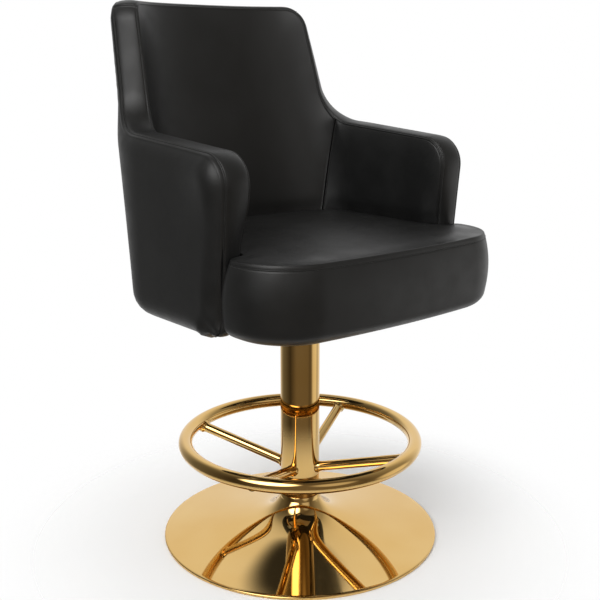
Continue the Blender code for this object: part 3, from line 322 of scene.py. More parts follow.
@dataclass(frozen=True)
class PlainFinish:
    """A finish for gear that shows little: two colours, a roughness and a surface grain."""

    name: str
    colour: Triple
    second: Triple
    roughness: float
    metallic: float = 0.0
    scale: float = 220.0
    depth: float = 0.0001
    grain: Grain = Grain.EVEN

    def material(self) -> Material:
        """Builds the finish.

        Returns:
            Its material.
        """
        shader = Shader(self.name)
        shader.set(Metallic=self.metallic)
        pattern = shader.noise(self.scale, 4.0, self.grain.value)
        shader.link(shader.mix(pattern, self.colour, self.second), "Base Color")
        least, most = self.roughness * 0.8, self.roughness * 1.2
        shader.link(shader.ramp(pattern, 0.2, 0.8, least, most), "Roughness")
        shader.bump(pattern, self.depth, 0.5)
        return shader.material


ZINC = PlainFinish(
    "zinc steel", (0.50, 0.51, 0.53), (0.62, 0.62, 0.60), 0.30, 1.0, 90.0, 0.00005, Grain.BRUSHED
)
IRON = PlainFinish(
    "painted cast iron", (0.030, 0.030, 0.032), (0.055, 0.053, 0.050), 0.62, 0.0, 300.0, 0.0004
)
NYLON = PlainFinish("white nylon", (0.72, 0.71, 0.67), (0.78, 0.77, 0.73), 0.42)
BRASS = PlainFinish("cage brass", (0.62, 0.44, 0.19), (0.70, 0.52, 0.25), 0.30, 1.0, 150.0)
RUBBER = PlainFinish(
    "floor rubber", (0.016, 0.016, 0.016), (0.030, 0.030, 0.029), 0.80, 0.0, 500.0, 0.0003
)
PLYWOOD = PlainFinish(
    "plywood", (0.48, 0.32, 0.17), (0.62, 0.45, 0.27), 0.65, 0.0, 60.0, 0.0002, Grain.FIBROUS
)
LINING = PlainFinish(
    "black lining", (0.008, 0.008, 0.008), (0.020, 0.020, 0.020), 0.92, 0.0, 1400.0, 0.0003
)

NODE_FINISHES: dict[str, PlainFinish] = {
    "zinc_steel": ZINC,
    "cast_iron": IRON,
    "white_nylon": NYLON,
    "cage_brass": BRASS,
    "floor_rubber": RUBBER,
    "plywood": PLYWOOD,
    "dust_lining": LINING,
}


class Palette:
    """Makes each finish's material once."""

    def __init__(self) -> None:
        """Starts with no materials."""
        self._made: dict[str, Material] = {}

    def get(self, finish: MirrorGold | FauxLeather | SewingThread | PlainFinish) -> Material:
        """The material of a finish.

        Args:
            finish: the finish.

        Returns:
            Its material, made at the first call.
        """
        if finish.name not in self._made:
            self._made[finish.name] = finish.material()
        return self._made[finish.name]


# Mesh building


def smooth(share: Array | float) -> Array:
    """Eases a share from 0 to 1."""
    share = np.clip(share, 0.0, 1.0)
    return share * share * (3 - 2 * share)


def make_piece(
    name: str,
    points: Array,
    faces: Sequence[Sequence[int]],
    material: Material,
    body: Body,
    sharp_deg: float = 60.0,
) -> Piece:
    """Makes a smooth-shaded mesh object that rides on a body.

    Args:
        name: the piece's name.
        points: (n, 3) places in metres.
        faces: vertex numbers of each face.
        material: the finish.
        body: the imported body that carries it.
        sharp_deg: angle above which an edge stays sharp.

    Returns:
        The new object.
    """
    mesh = bpy.data.meshes.new(name)
    mesh.from_pydata(np.asarray(points, float).tolist(), [], [list(map(int, face)) for face in faces])
    mesh.update()
    mesh.materials.append(material)
    mesh.shade_smooth()
    mesh.set_sharp_from_angle(angle=math.radians(sharp_deg))
    piece = bpy.data.objects.new(name, mesh)
    bpy.context.scene.collection.objects.link(piece)
    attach(piece, body.value)
    return piece


def grid_faces(rows: int, columns: int, wrap: bool = False, start: int = 0) -> list[Face]:
    """Four-sided faces of a grid of points in row order.

    Args:
        rows: number of rows.
        columns: points in a row.
        wrap: True if each row is a closed loop.
        start: number of the grid's first point.

    Returns:
        The faces.
    """
    faces = []
    for row in range(rows - 1):
        for column in range(columns if wrap else columns - 1):
            after = (column + 1) % columns
            low = start + row * columns
            faces.append((low + column, low + after, low + columns + after, low + columns + column))
    return faces


def turned_mesh(profile: Sequence[tuple[float, float]], segments: int) -> Mesh:
    """A closed profile of (radius, height) spun once round Z.

    Args:
        profile: the profile's points, none of them on the axis.
        segments: steps round the axis.

    Returns:
        Points and faces.
    """
    angles = np.linspace(0, math.tau, segments, endpoint=False)
    loop = np.array(profile)
    points = np.stack(
        [
            np.outer(loop[:, 0], np.cos(angles)),
            np.outer(loop[:, 0], np.sin(angles)),
            np.repeat(loop[:, 1:2], segments, axis=1),
        ],
        axis=-1,
    ).reshape(-1, 3)
    faces = grid_faces(len(loop), segments, wrap=True)
    last = (len(loop) - 1) * segments
    for i in range(segments):
        after = (i + 1) % segments
        faces.append((last + i, last + after, after, i))
    return points, faces


def rounded_profile(corners: Sequence[Triple], steps: int = 6) -> list[tuple[float, float]]:
    """A closed section whose corners are rounded.

    Args:
        corners: (radius, height, rounding) of each corner in order.
        steps: points on each round.

    Returns:
        The section's points.
    """
    places = [Vector(corner[:2]) for corner in corners]
    profile = []
    for i, corner in enumerate(places):
        rounding = corners[i][2]
        before = (places[i - 1] - corner).normalized()
        after = (places[(i + 1) % len(places)] - corner).normalized()
        if rounding <= 0:
            profile.append(tuple(corner))
            continue
        for step in range(steps + 1):
            share = step / steps
            start, end = corner + before * rounding, corner + after * rounding
            point = start * (1 - share) ** 2 + corner * 2 * share * (1 - share) + end * share**2
            profile.append(tuple(point))
    return profile


@dataclass(frozen=True)
class SeamEdge:
    """How a leather panel rolls over into its seam, with or without a row of stitches beside it."""

    depth: float = 0.0022
    roll: float = 0.0006
    bead: float = 0.0011
    bead_place: float = 0.0026
    bead_width: float = 0.0019
    stitch_inset: float = 0.0034
    stitch_dip: float = 0.0
    stitch_width: float = 0.0008
    insets: tuple[float, ...] = (
        0.0, 0.0002, 0.0004, 0.0007, 0.0010, 0.0014, 0.0018, 0.0022, 0.0026,
        0.0030, 0.0034, 0.0038, 0.0043, 0.0050, 0.0062, 0.0084, 0.0120,
    )

    def lift(self, inset: Array) -> Array:
        """Height of the leather above its plain form.

        Args:
            inset: distances from the panel's edge.

        Returns:
            The heights, below zero where the leather dips.
        """
        sink = -self.depth * np.exp(-inset / self.roll)
        bead = self.bead * np.exp(-(((inset - self.bead_place) / self.bead_width) ** 2))
        row = -self.stitch_dip * np.exp(-(((inset - self.stitch_inset) / self.stitch_width) ** 2))
        return sink + bead + row


LEATHER_THICKNESS = 0.0016
OUTLINE_STEP = 0.0036
SAME_PLACE = 1e-7
ROLLED = SeamEdge()
STITCHED = SeamEdge(bead=0.0007, bead_place=0.0016, bead_width=0.0011, stitch_dip=0.0007)


def sharp_corners(outline: Array, corner_deg: float = 35.0) -> list[int]:
    """Finds where a closed outline turns sharply.

    Args:
        outline: (n, 2) points.
        corner_deg: the least turn that counts.

    Returns:
        Numbers of the points.
    """
    ahead = np.roll(outline, -1, axis=0) - outline
    behind = outline - np.roll(outline, 1, axis=0)
    product = np.sum(ahead * behind, axis=1)
    cosine = product / np.linalg.norm(ahead, axis=1) / np.linalg.norm(behind, axis=1)
    return [int(corner) for corner in np.flatnonzero(cosine < math.cos(math.radians(corner_deg)))]


def at_lengths(run: Array, at: Array, carried: Array | None = None) -> Array:
    """Points of an open path at distances along it.

    Args:
        run: (n, k) points.
        at: (m,) distances.
        carried: (n, j) values that the points carry, to be read in place of the points themselves.

    Returns:
        (m, k) points, or (m, j) values.
    """
    lengths = path_lengths(run)
    values = run if carried is None else carried
    return np.stack([np.interp(at, lengths, column) for column in values.T], axis=1)


def path_lengths(run: Array) -> Array:
    """Distance along an open path at each of its points."""
    return np.concatenate([[0], np.cumsum(np.linalg.norm(np.diff(run, axis=0), axis=1))])


def resample_open(run: Array, step: float) -> Array:
    """Evenly spaced points along an open path, both ends kept."""
    total = path_lengths(run)[-1]
    return at_lengths(run, np.linspace(0, total, max(1, int(round(total / step))) + 1))


def resample_closed(outline: Array, step: float) -> Array:
    """Evenly spaced points round a closed outline, starting at a sharp corner if it has one.

    Args:
        outline: (n, 2) points.
        step: distance between points.

    Returns:
        The new outline, with every sharp corner kept.
    """
    outline = outline[np.linalg.norm(outline - np.roll(outline, 1, axis=0), axis=1) > SAME_PLACE]
    corners = sharp_corners(outline) or [0]
    runs = closed_runs(outline, corners)
    return np.vstack([resample_open(run, step)[:-1] for run in runs])


def closed_runs(outline: Array, corners: Sequence[int]) -> list[Array]:
    """Cuts a closed outline at its corners.

    Args:
        outline: (n, 2) points.
        corners: numbers of the corner points.

    Returns:
        The open paths from each corner to the next, both ends included.
    """
    turned = np.vstack([np.roll(outline, -corners[0], axis=0), outline[corners[0]][None]])
    marks = [*[corner - corners[0] for corner in corners], len(outline)]
    return [turned[start : end + 1] for start, end in zip(marks, marks[1:])]


def inset_outline(outline: Array, inset: float) -> Array:
    """A closed outline moved in, with as many points, squeezed together where corners shorten its sides.

    Args:
        outline: (n, 2) points given anticlockwise, the first of them at a sharp corner if there is one.
        inset: distance to move in.

    Returns:
        (n, 2) points.
    """
    corners = sharp_corners(outline)
    if not corners:
        return outline + smooth_normals(np.vstack([outline[-1:], outline, outline[:1]]))[1:-1] * inset
    runs = closed_runs(outline, corners)
    trims = []
    for before, after in zip([runs[-1], *runs[:-1]], runs):
        a, b = before[-1] - before[-2], after[1] - after[0]
        turn = math.atan2(a[0] * b[1] - a[1] * b[0], float(a @ b))
        trims.append(inset * math.tan(turn / 2))
    moved = []
    for run, start, end in zip(runs, trims, [*trims[1:], trims[0]]):
        lengths = path_lengths(run)
        share = lengths / lengths[-1]
        at = lengths + start * (1 - share) - end * share
        normals = at_lengths(run, at, smooth_normals(run))
        ahead = np.minimum(at, 0)[:, None] * unit(run[1] - run[0])
        beyond = np.maximum(at - lengths[-1], 0)[:, None] * unit(run[-1] - run[-2])
        moved.append((at_lengths(run, at) + ahead + beyond + normals * inset)[:-1])
    return np.vstack(moved)


def unit(vector: Array) -> Array:
    """A vector at length one."""
    return vector / max(float(np.linalg.norm(vector)), 1e-12)


def smooth_normals(run: Array) -> Array:
    """Unit normals to the left of an open path.

    Args:
        run: (n, 2) points.

    Returns:
        (n, 2) normals.
    """
    tangent = np.gradient(run, axis=0)
    tangent = tangent / np.linalg.norm(tangent, axis=1, keepdims=True)
    return np.stack([-tangent[:, 1], tangent[:, 0]], axis=1)


def inside(outline: Array, points: Array) -> Array:
    """Which points lie in a closed outline.

    Args:
        outline: (n, 2) points.
        points: (m, 2) points.

    Returns:
        (m,) truth values.
    """
    result = np.zeros(len(points), bool)
    x, y = points[:, 0], points[:, 1]
    for (x0, y0), (x1, y1) in zip(outline, np.roll(outline, -1, axis=0)):
        if y0 == y1:
            continue
        crosses = ((y0 <= y) & (y < y1)) | ((y1 <= y) & (y < y0))
        result ^= crosses & (x < x0 + (y - y0) * (x1 - x0) / (y1 - y0))
    return result


def nearest(points: Array, outline: Array) -> tuple[Array, Array]:
    """Finds the outline point nearest to each point.

    Args:
        points: (m, 2) points.
        outline: (n, 2) points.

    Returns:
        (m,) distances, and (m,) numbers of the outline's points.
    """
    best = np.full(len(points), np.inf)
    number = np.zeros(len(points), int)
    for start in range(0, len(outline), 200):
        part = outline[start : start + 200]
        gaps = np.linalg.norm(points[:, None, :] - part[None, :, :], axis=2)
        lowest = gaps.argmin(axis=1)
        least = gaps[np.arange(len(points)), lowest]
        closer = least < best
        best[closer] = least[closer]
        number[closer] = lowest[closer] + start
    return best, number


def outwards(points: Array, faces: list[Sequence[int]]) -> list[Sequence[int]]:
    """Turns the faces of a closed solid over if its volume comes out negative.

    Args:
        points: (n, 3) places.
        faces: vertex numbers of each face, all wound alike.

    Returns:
        The faces, facing out.
    """
    volume = 0.0
    for face in faces:
        corner = points[face[0]]
        for b, c in zip(face[1:], face[2:]):
            volume += float(np.dot(corner, np.cross(points[b], points[c])))
    return faces if volume > 0 else [list(reversed(face)) for face in faces]


@dataclass
class Panel:
    """One cut piece of leather: an outline in its own flat coordinates and a way to place it in space."""

    name: str
    outline: Array
    place: Place
    edge: SeamEdge = ROLLED
    fill_step: float = 0.009
    thickness: float = LEATHER_THICKNESS
    probe: float = 0.001
    row_share: float = 0.866
    clear_share: float = 0.55
    has_stitches: Callable[[Array], Array] | None = None
    seam_share: Callable[[Array], Array] | None = None

    def rings(self) -> list[Array]:
        """The outline moved in by each of the edge's insets."""
        return [inset_outline(self.outline, inset) for inset in self.edge.insets]

    def fill(self, ring: Array) -> tuple[Array, list[list[int]]]:
        """Covers the space inside the last ring with triangles.

        Args:
            ring: the last ring's points.

        Returns:
            The new inner points, and triangles that number the ring's points first.
        """
        step = self.fill_step
        low, high = ring.min(axis=0), ring.max(axis=0)
        rows = []
        for row, y in enumerate(np.arange(low[1] + step / 2, high[1], step * self.row_share)):
            offset = step / 2 if row % 2 else 0.0
            x = np.arange(low[0] + offset, high[0], step)
            rows.append(np.stack([x, np.full(len(x), y)], axis=1))
        grid = np.vstack(rows)
        grid = grid[inside(ring, grid)]
        grid = grid[nearest(grid, ring)[0] > step * self.clear_share]
        points = np.vstack([ring, grid])
        corners = [Vector(point) for point in points.tolist()]
        result = delaunay_2d_cdt(corners, [], [list(range(len(ring)))], 1, SAME_PLACE)
        names = [origin[0] for origin in result[3]]
        triangles = [[names[i] for i in face] for face in result[2]]
        return grid, triangles

    def build(self, material: Material, body: Body, slot: Slot) -> Piece:
        """Makes the panel as a closed thin solid.

        Args:
            material: the leather.
            body: the body it rides on.
            slot: its material slot; not used.

        Returns:
            The piece.
        """
        rings = self.rings()
        count = len(self.outline)
        grid, triangles = self.fill(rings[-1])
        flat = np.vstack([*rings, grid])
        inner = nearest(grid, self.outline)[0]
        inset = np.concatenate([*(np.full(count, value) for value in self.edge.insets), inner])
        lift = self.lift(flat, inset)
        front = self.place(flat, lift, inset)
        back = self.place(flat, lift - self.thickness, inset)
        total = len(flat)
        last = (len(rings) - 1) * count
        faces: list[Sequence[int]] = [tuple(face) for face in grid_faces(len(rings), count, wrap=True)]
        faces += [[i + last for i in face] for face in triangles]
        reverse = [[i + total for i in reversed(face)] for face in faces]
        wall = [(i, i + total, (i + 1) % count + total, (i + 1) % count) for i in range(count)]
        every = np.vstack([front, back])
        faces = outwards(every, [*faces, *reverse, *wall])
        return make_piece(self.name, every, faces, material, body)

    def lift(self, flat: Array, inset: Array) -> Array:
        """Height of the seam's form at flat points, where the seam shows at all."""
        lift = self.edge.lift(inset)
        return lift if self.seam_share is None else lift * self.seam_share(flat)

    def stitch_path(self) -> StitchRow:
        """The stitch row beside the seam.

        Returns:
            Its places, the directions along it and the directions out of the leather.
        """
        flat = inset_outline(self.outline, self.edge.stitch_inset)
        inset = np.full(len(flat), self.edge.stitch_inset)
        lift = self.lift(flat, inset)
        here = self.place(flat, lift, inset)
        above = self.place(flat, lift + self.probe, inset)
        along = np.roll(here, -1, axis=0) - np.roll(here, 1, axis=0)
        chosen = np.ones(len(flat), bool) if self.has_stitches is None else self.has_stitches(flat)
        return here[chosen], along[chosen], (above - here)[chosen]


@dataclass(frozen=True)
class Stitching:
    """Rows of thread stitches, each a short rounded bar sunk at both ends."""

    pitch: float = 0.0046
    length: float = 0.0033
    radius: float = 0.00042
    rise: float = 0.00012
    longest_step: float = 0.012
    sides: int = 6
    section_shares: tuple[Triple, ...] = (
        (-0.5, 0.35, -1.0),
        (-0.34, 0.9, 0.2),
        (0.0, 1.0, 1.0),
        (0.34, 0.9, 0.2),
        (0.5, 0.35, -1.0),
    )

    def build(self, name: str, rows: Sequence[StitchRow], palette: Palette, body: Body) -> Piece:
        """Makes one piece of all the stitches in the rows.

        Args:
            name: the piece's name.
            rows: (places, directions, normals) of each row.
            palette: the finishes.
            body: the body it rides on.

        Returns:
            The piece.
        """
        points: list[Array] = []
        faces: list[Face] = []
        for row, along, up in rows:
            for place, direction, normal in self._spaced(row, along, up):
                self._stitch(points, faces, place, direction, normal)
        return make_piece(name, np.array(points), faces, palette.get(SewingThread()), body)

    def _spaced(self, row: Array, along: Array, up: Array) -> list[StitchRow]:
        """Spaces stitches evenly along one row, none of them across a jump.

        Args:
            row: (n, 3) places.
            along: (n, 3) directions along the row.
            up: (n, 3) directions out of the leather.

        Returns:
            The place and both directions of each stitch's middle.
        """
        steps = np.linalg.norm(np.diff(row, axis=0), axis=1)
        jumps = [0, *(np.flatnonzero(steps > self.longest_step) + 1).tolist(), len(row)]
        spaced: list[StitchRow] = []
        for start, end in zip(jumps, jumps[1:]):
            if end - start < 2:
                continue
            run = np.hstack([part[start:end] for part in (row, along, up)])
            lengths = path_lengths(run[:, :3])
            count = int(lengths[-1] / self.pitch)
            at = (np.arange(count) + 0.5) * lengths[-1] / max(1, count)
            mixed = np.stack([np.interp(at, lengths, run[:, axis]) for axis in range(9)], axis=1)
            spaced += [(m[0:3], m[3:6], m[6:9]) for m in mixed]
        return spaced

    def _stitch(
        self, points: list[Array], faces: list[Face], place: Array, along: Array, up: Array
    ) -> None:
        """Adds one stitch.

        Args:
            points: every stitch's points so far, which grow.
            faces: every stitch's faces so far, which grow.
            place: the stitch's middle.
            along: the direction of the row.
            up: the direction out of the leather.
        """
        along, up = unit(along), unit(up)
        side = np.cross(along, up)
        start = len(points)
        for share, width, height in self.section_shares:
            middle = place + along * (share * self.length) + up * (self.rise * height)
            for corner in range(self.sides):
                angle = math.tau * corner / self.sides
                offset = side * math.cos(angle) + up * math.sin(angle)
                points.append(middle + offset * self.radius * width)
        faces += grid_faces(len(self.section_shares), self.sides, wrap=True, start=start)
        faces.append(tuple(range(start + self.sides - 1, start - 1, -1)))
        last = start + self.sides * (len(self.section_shares) - 1)
        faces.append(tuple(range(last, last + self.sides)))


# The bucket shell


@dataclass
class ShellForm:
    """The bucket's form: a place for each length round its plan, height, and depth in from its face."""

    half_width: float = 0.2751
    corner_start: float = 0.0917
    back_depth: float = 0.1536
    squareness: float = 2.47
    thickness: float = 0.0496
    bottom: float = 0.478
    top: float = 1.0206
    top_corner: float = 0.0416
    back_half_width: float = 0.2419
    width_height: float = 0.850
    taper: float = 0.140
    recline: float = 0.272
    recline_start: float = 0.6302
    arm_front: float = 0.1509
    arm_top: float = 0.7699
    arm_slope: float = 0.0766
    arm_corner: float = 0.0568
    arm_lean: float = 0.0874
    hollow: float = 0.0838
    lean_start: float = 0.040
    tuck: float = 0.009
    tuck_reach: float = 0.050
    plan_end: float = 0.300
    plan_steps: int = 900
    slope_step: float = 0.0018
    _table: Array = field(default_factory=lambda: np.zeros((0, 3)))

    def __post_init__(self) -> None:
        """Makes the plan's table and the lengths that follow from it."""
        angles = np.linspace(0, math.pi / 2, self.plan_steps)
        power = 2 / self.squareness
        x = self.half_width * np.sin(angles) ** power
        y = self.corner_start + self.back_depth * np.clip(np.cos(angles), 0, 1) ** power
        x = np.append(x, self.half_width)
        y = np.append(y, -self.plan_end)
        lengths = np.concatenate([[0], np.cumsum(np.hypot(np.diff(x), np.diff(y)))])
        self._table = np.stack([lengths, x, y], axis=1)
        self.front = self.length_at_y(-self.arm_front)
        self.lean_length = self.length_at_y(-self.lean_start)
        self.back_edge = float(np.interp(self.back_half_width, x[:-1], lengths[:-1]))

    def length_at_y(self, y: float) -> float:
        """Length along the plan at which it reaches a depth y."""
        return float(np.interp(-y, -self._table[:, 2], self._table[:, 0]))

    def plan(self, reach: Array) -> tuple[Array, Array]:
        """Plan coordinates at lengths along the +X side."""
        lengths, x, y = self._table.T
        return np.interp(reach, lengths, x), np.interp(reach, lengths, y)

    def point(self, length: Array, height: Array, depth: Array) -> Array:
        """Places in space.

        Args:
            length: signed lengths along the plan from the middle of the back.
            height: heights above the floor.
            depth: depths in from the face that the outer seams lie on.

        Returns:
            (n, 3) places.
        """
        side = np.where(length < 0, -1.0, 1.0)
        reach = np.abs(length)
        lean = np.maximum(0.0, self.arm_top - height) * self.arm_lean
        reach = reach - lean * smooth((reach - self.lean_length) / (self.front - self.lean_length))
        x, y = self.plan(reach)
        step = self.slope_step
        ahead, behind = self.plan(reach + step), self.plan(np.maximum(0.0, reach - step))
        along_x = np.where(reach < step, 1.0, ahead[0] - behind[0])
        along_y = np.where(reach < step, 0.0, ahead[1] - behind[1])
        norm = np.hypot(along_x, along_y)
        along_x, along_y = along_x / norm, along_y / norm
        share = np.clip((y - self.corner_start) / self.back_depth, 0, 1)
        shift = share * (height - self.recline_start) * self.recline
        return np.stack([side * (x + along_y * depth), y - along_x * depth + shift, height], axis=1)

    def rim(self, inset: float = 0.0) -> list[Array]:
        """The +X half of the upper edge in (length, height), as runs from the back's middle to the foot.

        Args:
            inset: distance in from the edge.

        Returns:
            Runs: top, top corner, back side, hollow, arm top, arm corner, arm front.
        """
        top, front = self.top - inset, self.front - inset
        arm_top, edge = self.arm_top - inset, self.back_edge - inset
        run = front - edge - self.taper * self.width_height
        corner_height = (arm_top + self.arm_slope * run) / (1 - self.arm_slope * self.taper)
        inner = np.array([edge - self.taper * (corner_height - self.width_height), corner_height])
        shoulder = np.array([edge - self.taper * (top - self.width_height), top])
        front_corner, foot = np.array([front, arm_top]), np.array([front, self.bottom])
        first = self._fillet(np.array([0.0, top]), shoulder, inner, self.top_corner - inset)
        second = self._fillet(shoulder, inner, front_corner, self.hollow + inset)
        third = self._fillet(inner, front_corner, foot, self.arm_corner - inset)
        start = np.array([[0.0, top]])
        return [
            np.vstack([start, first[:1]]),
            first,
            np.vstack([first[-1:], second[:1]]),
            second,
            np.vstack([second[-1:], third[:1]]),
            third,
            np.vstack([third[-1:], foot[None]]),
        ]

    @staticmethod
    def _fillet(start: Array, corner: Array, end: Array, radius: float, steps: int = 60) -> Array:
        """Rounds the corner between two straight runs.

        Args:
            start: a place on the first run.
            corner: where the runs meet.
            end: a place on the second run.
            radius: of the round.
            steps: how many parts the round has.

        Returns:
            The round's points.
        """
        a = (start - corner) / np.linalg.norm(start - corner)
        b = (end - corner) / np.linalg.norm(end - corner)
        half = math.acos(float(np.clip(a @ b, -1, 1))) / 2
        middle = (a + b) / np.linalg.norm(a + b)
        centre = corner + middle * (radius / math.sin(half))
        first = corner + a * (radius / math.tan(half)) - centre
        last = corner + b * (radius / math.tan(half)) - centre
        turn = math.atan2(first[0] * last[1] - first[1] * last[0], first @ last)
        points = []
        for i in range(steps + 1):
            angle = turn * i / steps
            c, s = math.cos(angle), math.sin(angle)
            points.append(centre + np.array([c * first[0] - s * first[1], s * first[0] + c * first[1]]))
        return np.array(points)

    def rim_height(self, length: Array) -> Array:
        """Height of the rim above a length along the plan."""
        path = np.vstack(self.rim()[:6])
        return np.interp(np.abs(length), path[:, 0], path[:, 1])


@dataclass
class Rim:
    """The shell's edge from the back's middle to the arm's foot, which the outer cover and the band share.

    The arm's outer front corner is sharp at the top and rounds off towards the foot, where its seam fades.
    """

    form: ShellForm
    foot_round: float = 0.015
    foot_return: float = 0.006
    step: float = 0.0008
    lobe: float = 0.018
    lobe_top: float = 0.640
    lobe_bottom: float = 0.520
    lobe_end: float = 0.045
    arm_front_length: float = 0.240
    least_lobe: float = 0.000001
    path: Array = field(init=False)
    normals: Array = field(init=False)
    lengths: Array = field(init=False)
    lobes: Array = field(init=False)

    def __post_init__(self) -> None:
        """Makes the path in (length, height), its outward normals, and the corner's radius along it."""
        runs = self.form.rim()
        curl = self._foot_curl(runs[6][1])
        back = curl[-1:] - np.array([[self.foot_return, 0.0]])
        half = np.vstack([*runs[:6], runs[6][:1], curl, back])
        apart = np.linalg.norm(np.diff(half, axis=0), axis=1) > SAME_PLACE
        half = half[np.concatenate([[True], apart])]
        self.path = resample_open(half, self.step)
        self.normals = smooth_normals(self.path)
        self.normals[0] = (0, 1)
        self.lengths = path_lengths(self.path)
        radius = self.lobe * self.roundness(self.path[:, 1])
        to_end = self.lengths[-1] - self.lengths
        faded = radius * smooth(to_end / self.lobe_end)
        self.lobes = np.where(to_end < self.arm_front_length, faded, 0.0) + self.least_lobe

    def roundness(self, height: Array) -> Array:
        """How round the corner is at a height, from 0 at the arm's top to 1 near its foot."""
        return smooth((self.lobe_top - height) / (self.lobe_top - self.lobe_bottom))

    def _foot_curl(self, foot: Array, steps: int = 14) -> Array:
        """Quarter round that turns the arm's front edge under at its foot.

        Args:
            foot: where the straight edge would end.
            steps: the round's points.

        Returns:
            The points.
        """
        angles = np.linspace(0, math.pi / 2, steps)
        centre = foot + np.array([-self.foot_round, self.foot_round])
        return centre + self.foot_round * np.stack([np.cos(angles), -np.sin(angles)], axis=1)

    def top_corner(self) -> float:
        """Path length at the middle of the back's top corner."""
        runs = self.form.rim()
        return float(path_lengths(runs[0])[-1] + path_lengths(runs[1])[-1] / 2)

    def at(self, length: Array) -> tuple[Array, Array, Array]:
        """Reads the rim.

        Args:
            length: (n,) distances along it from the back's middle.

        Returns:
            (n, 2) places, (n, 2) normals and (n,) corner radii.
        """
        columns = np.column_stack([self.path, self.normals, self.lobes])
        values = np.stack([np.interp(length, self.lengths, column) for column in columns.T], axis=1)
        return values[:, 0:2], values[:, 2:4], values[:, 4]


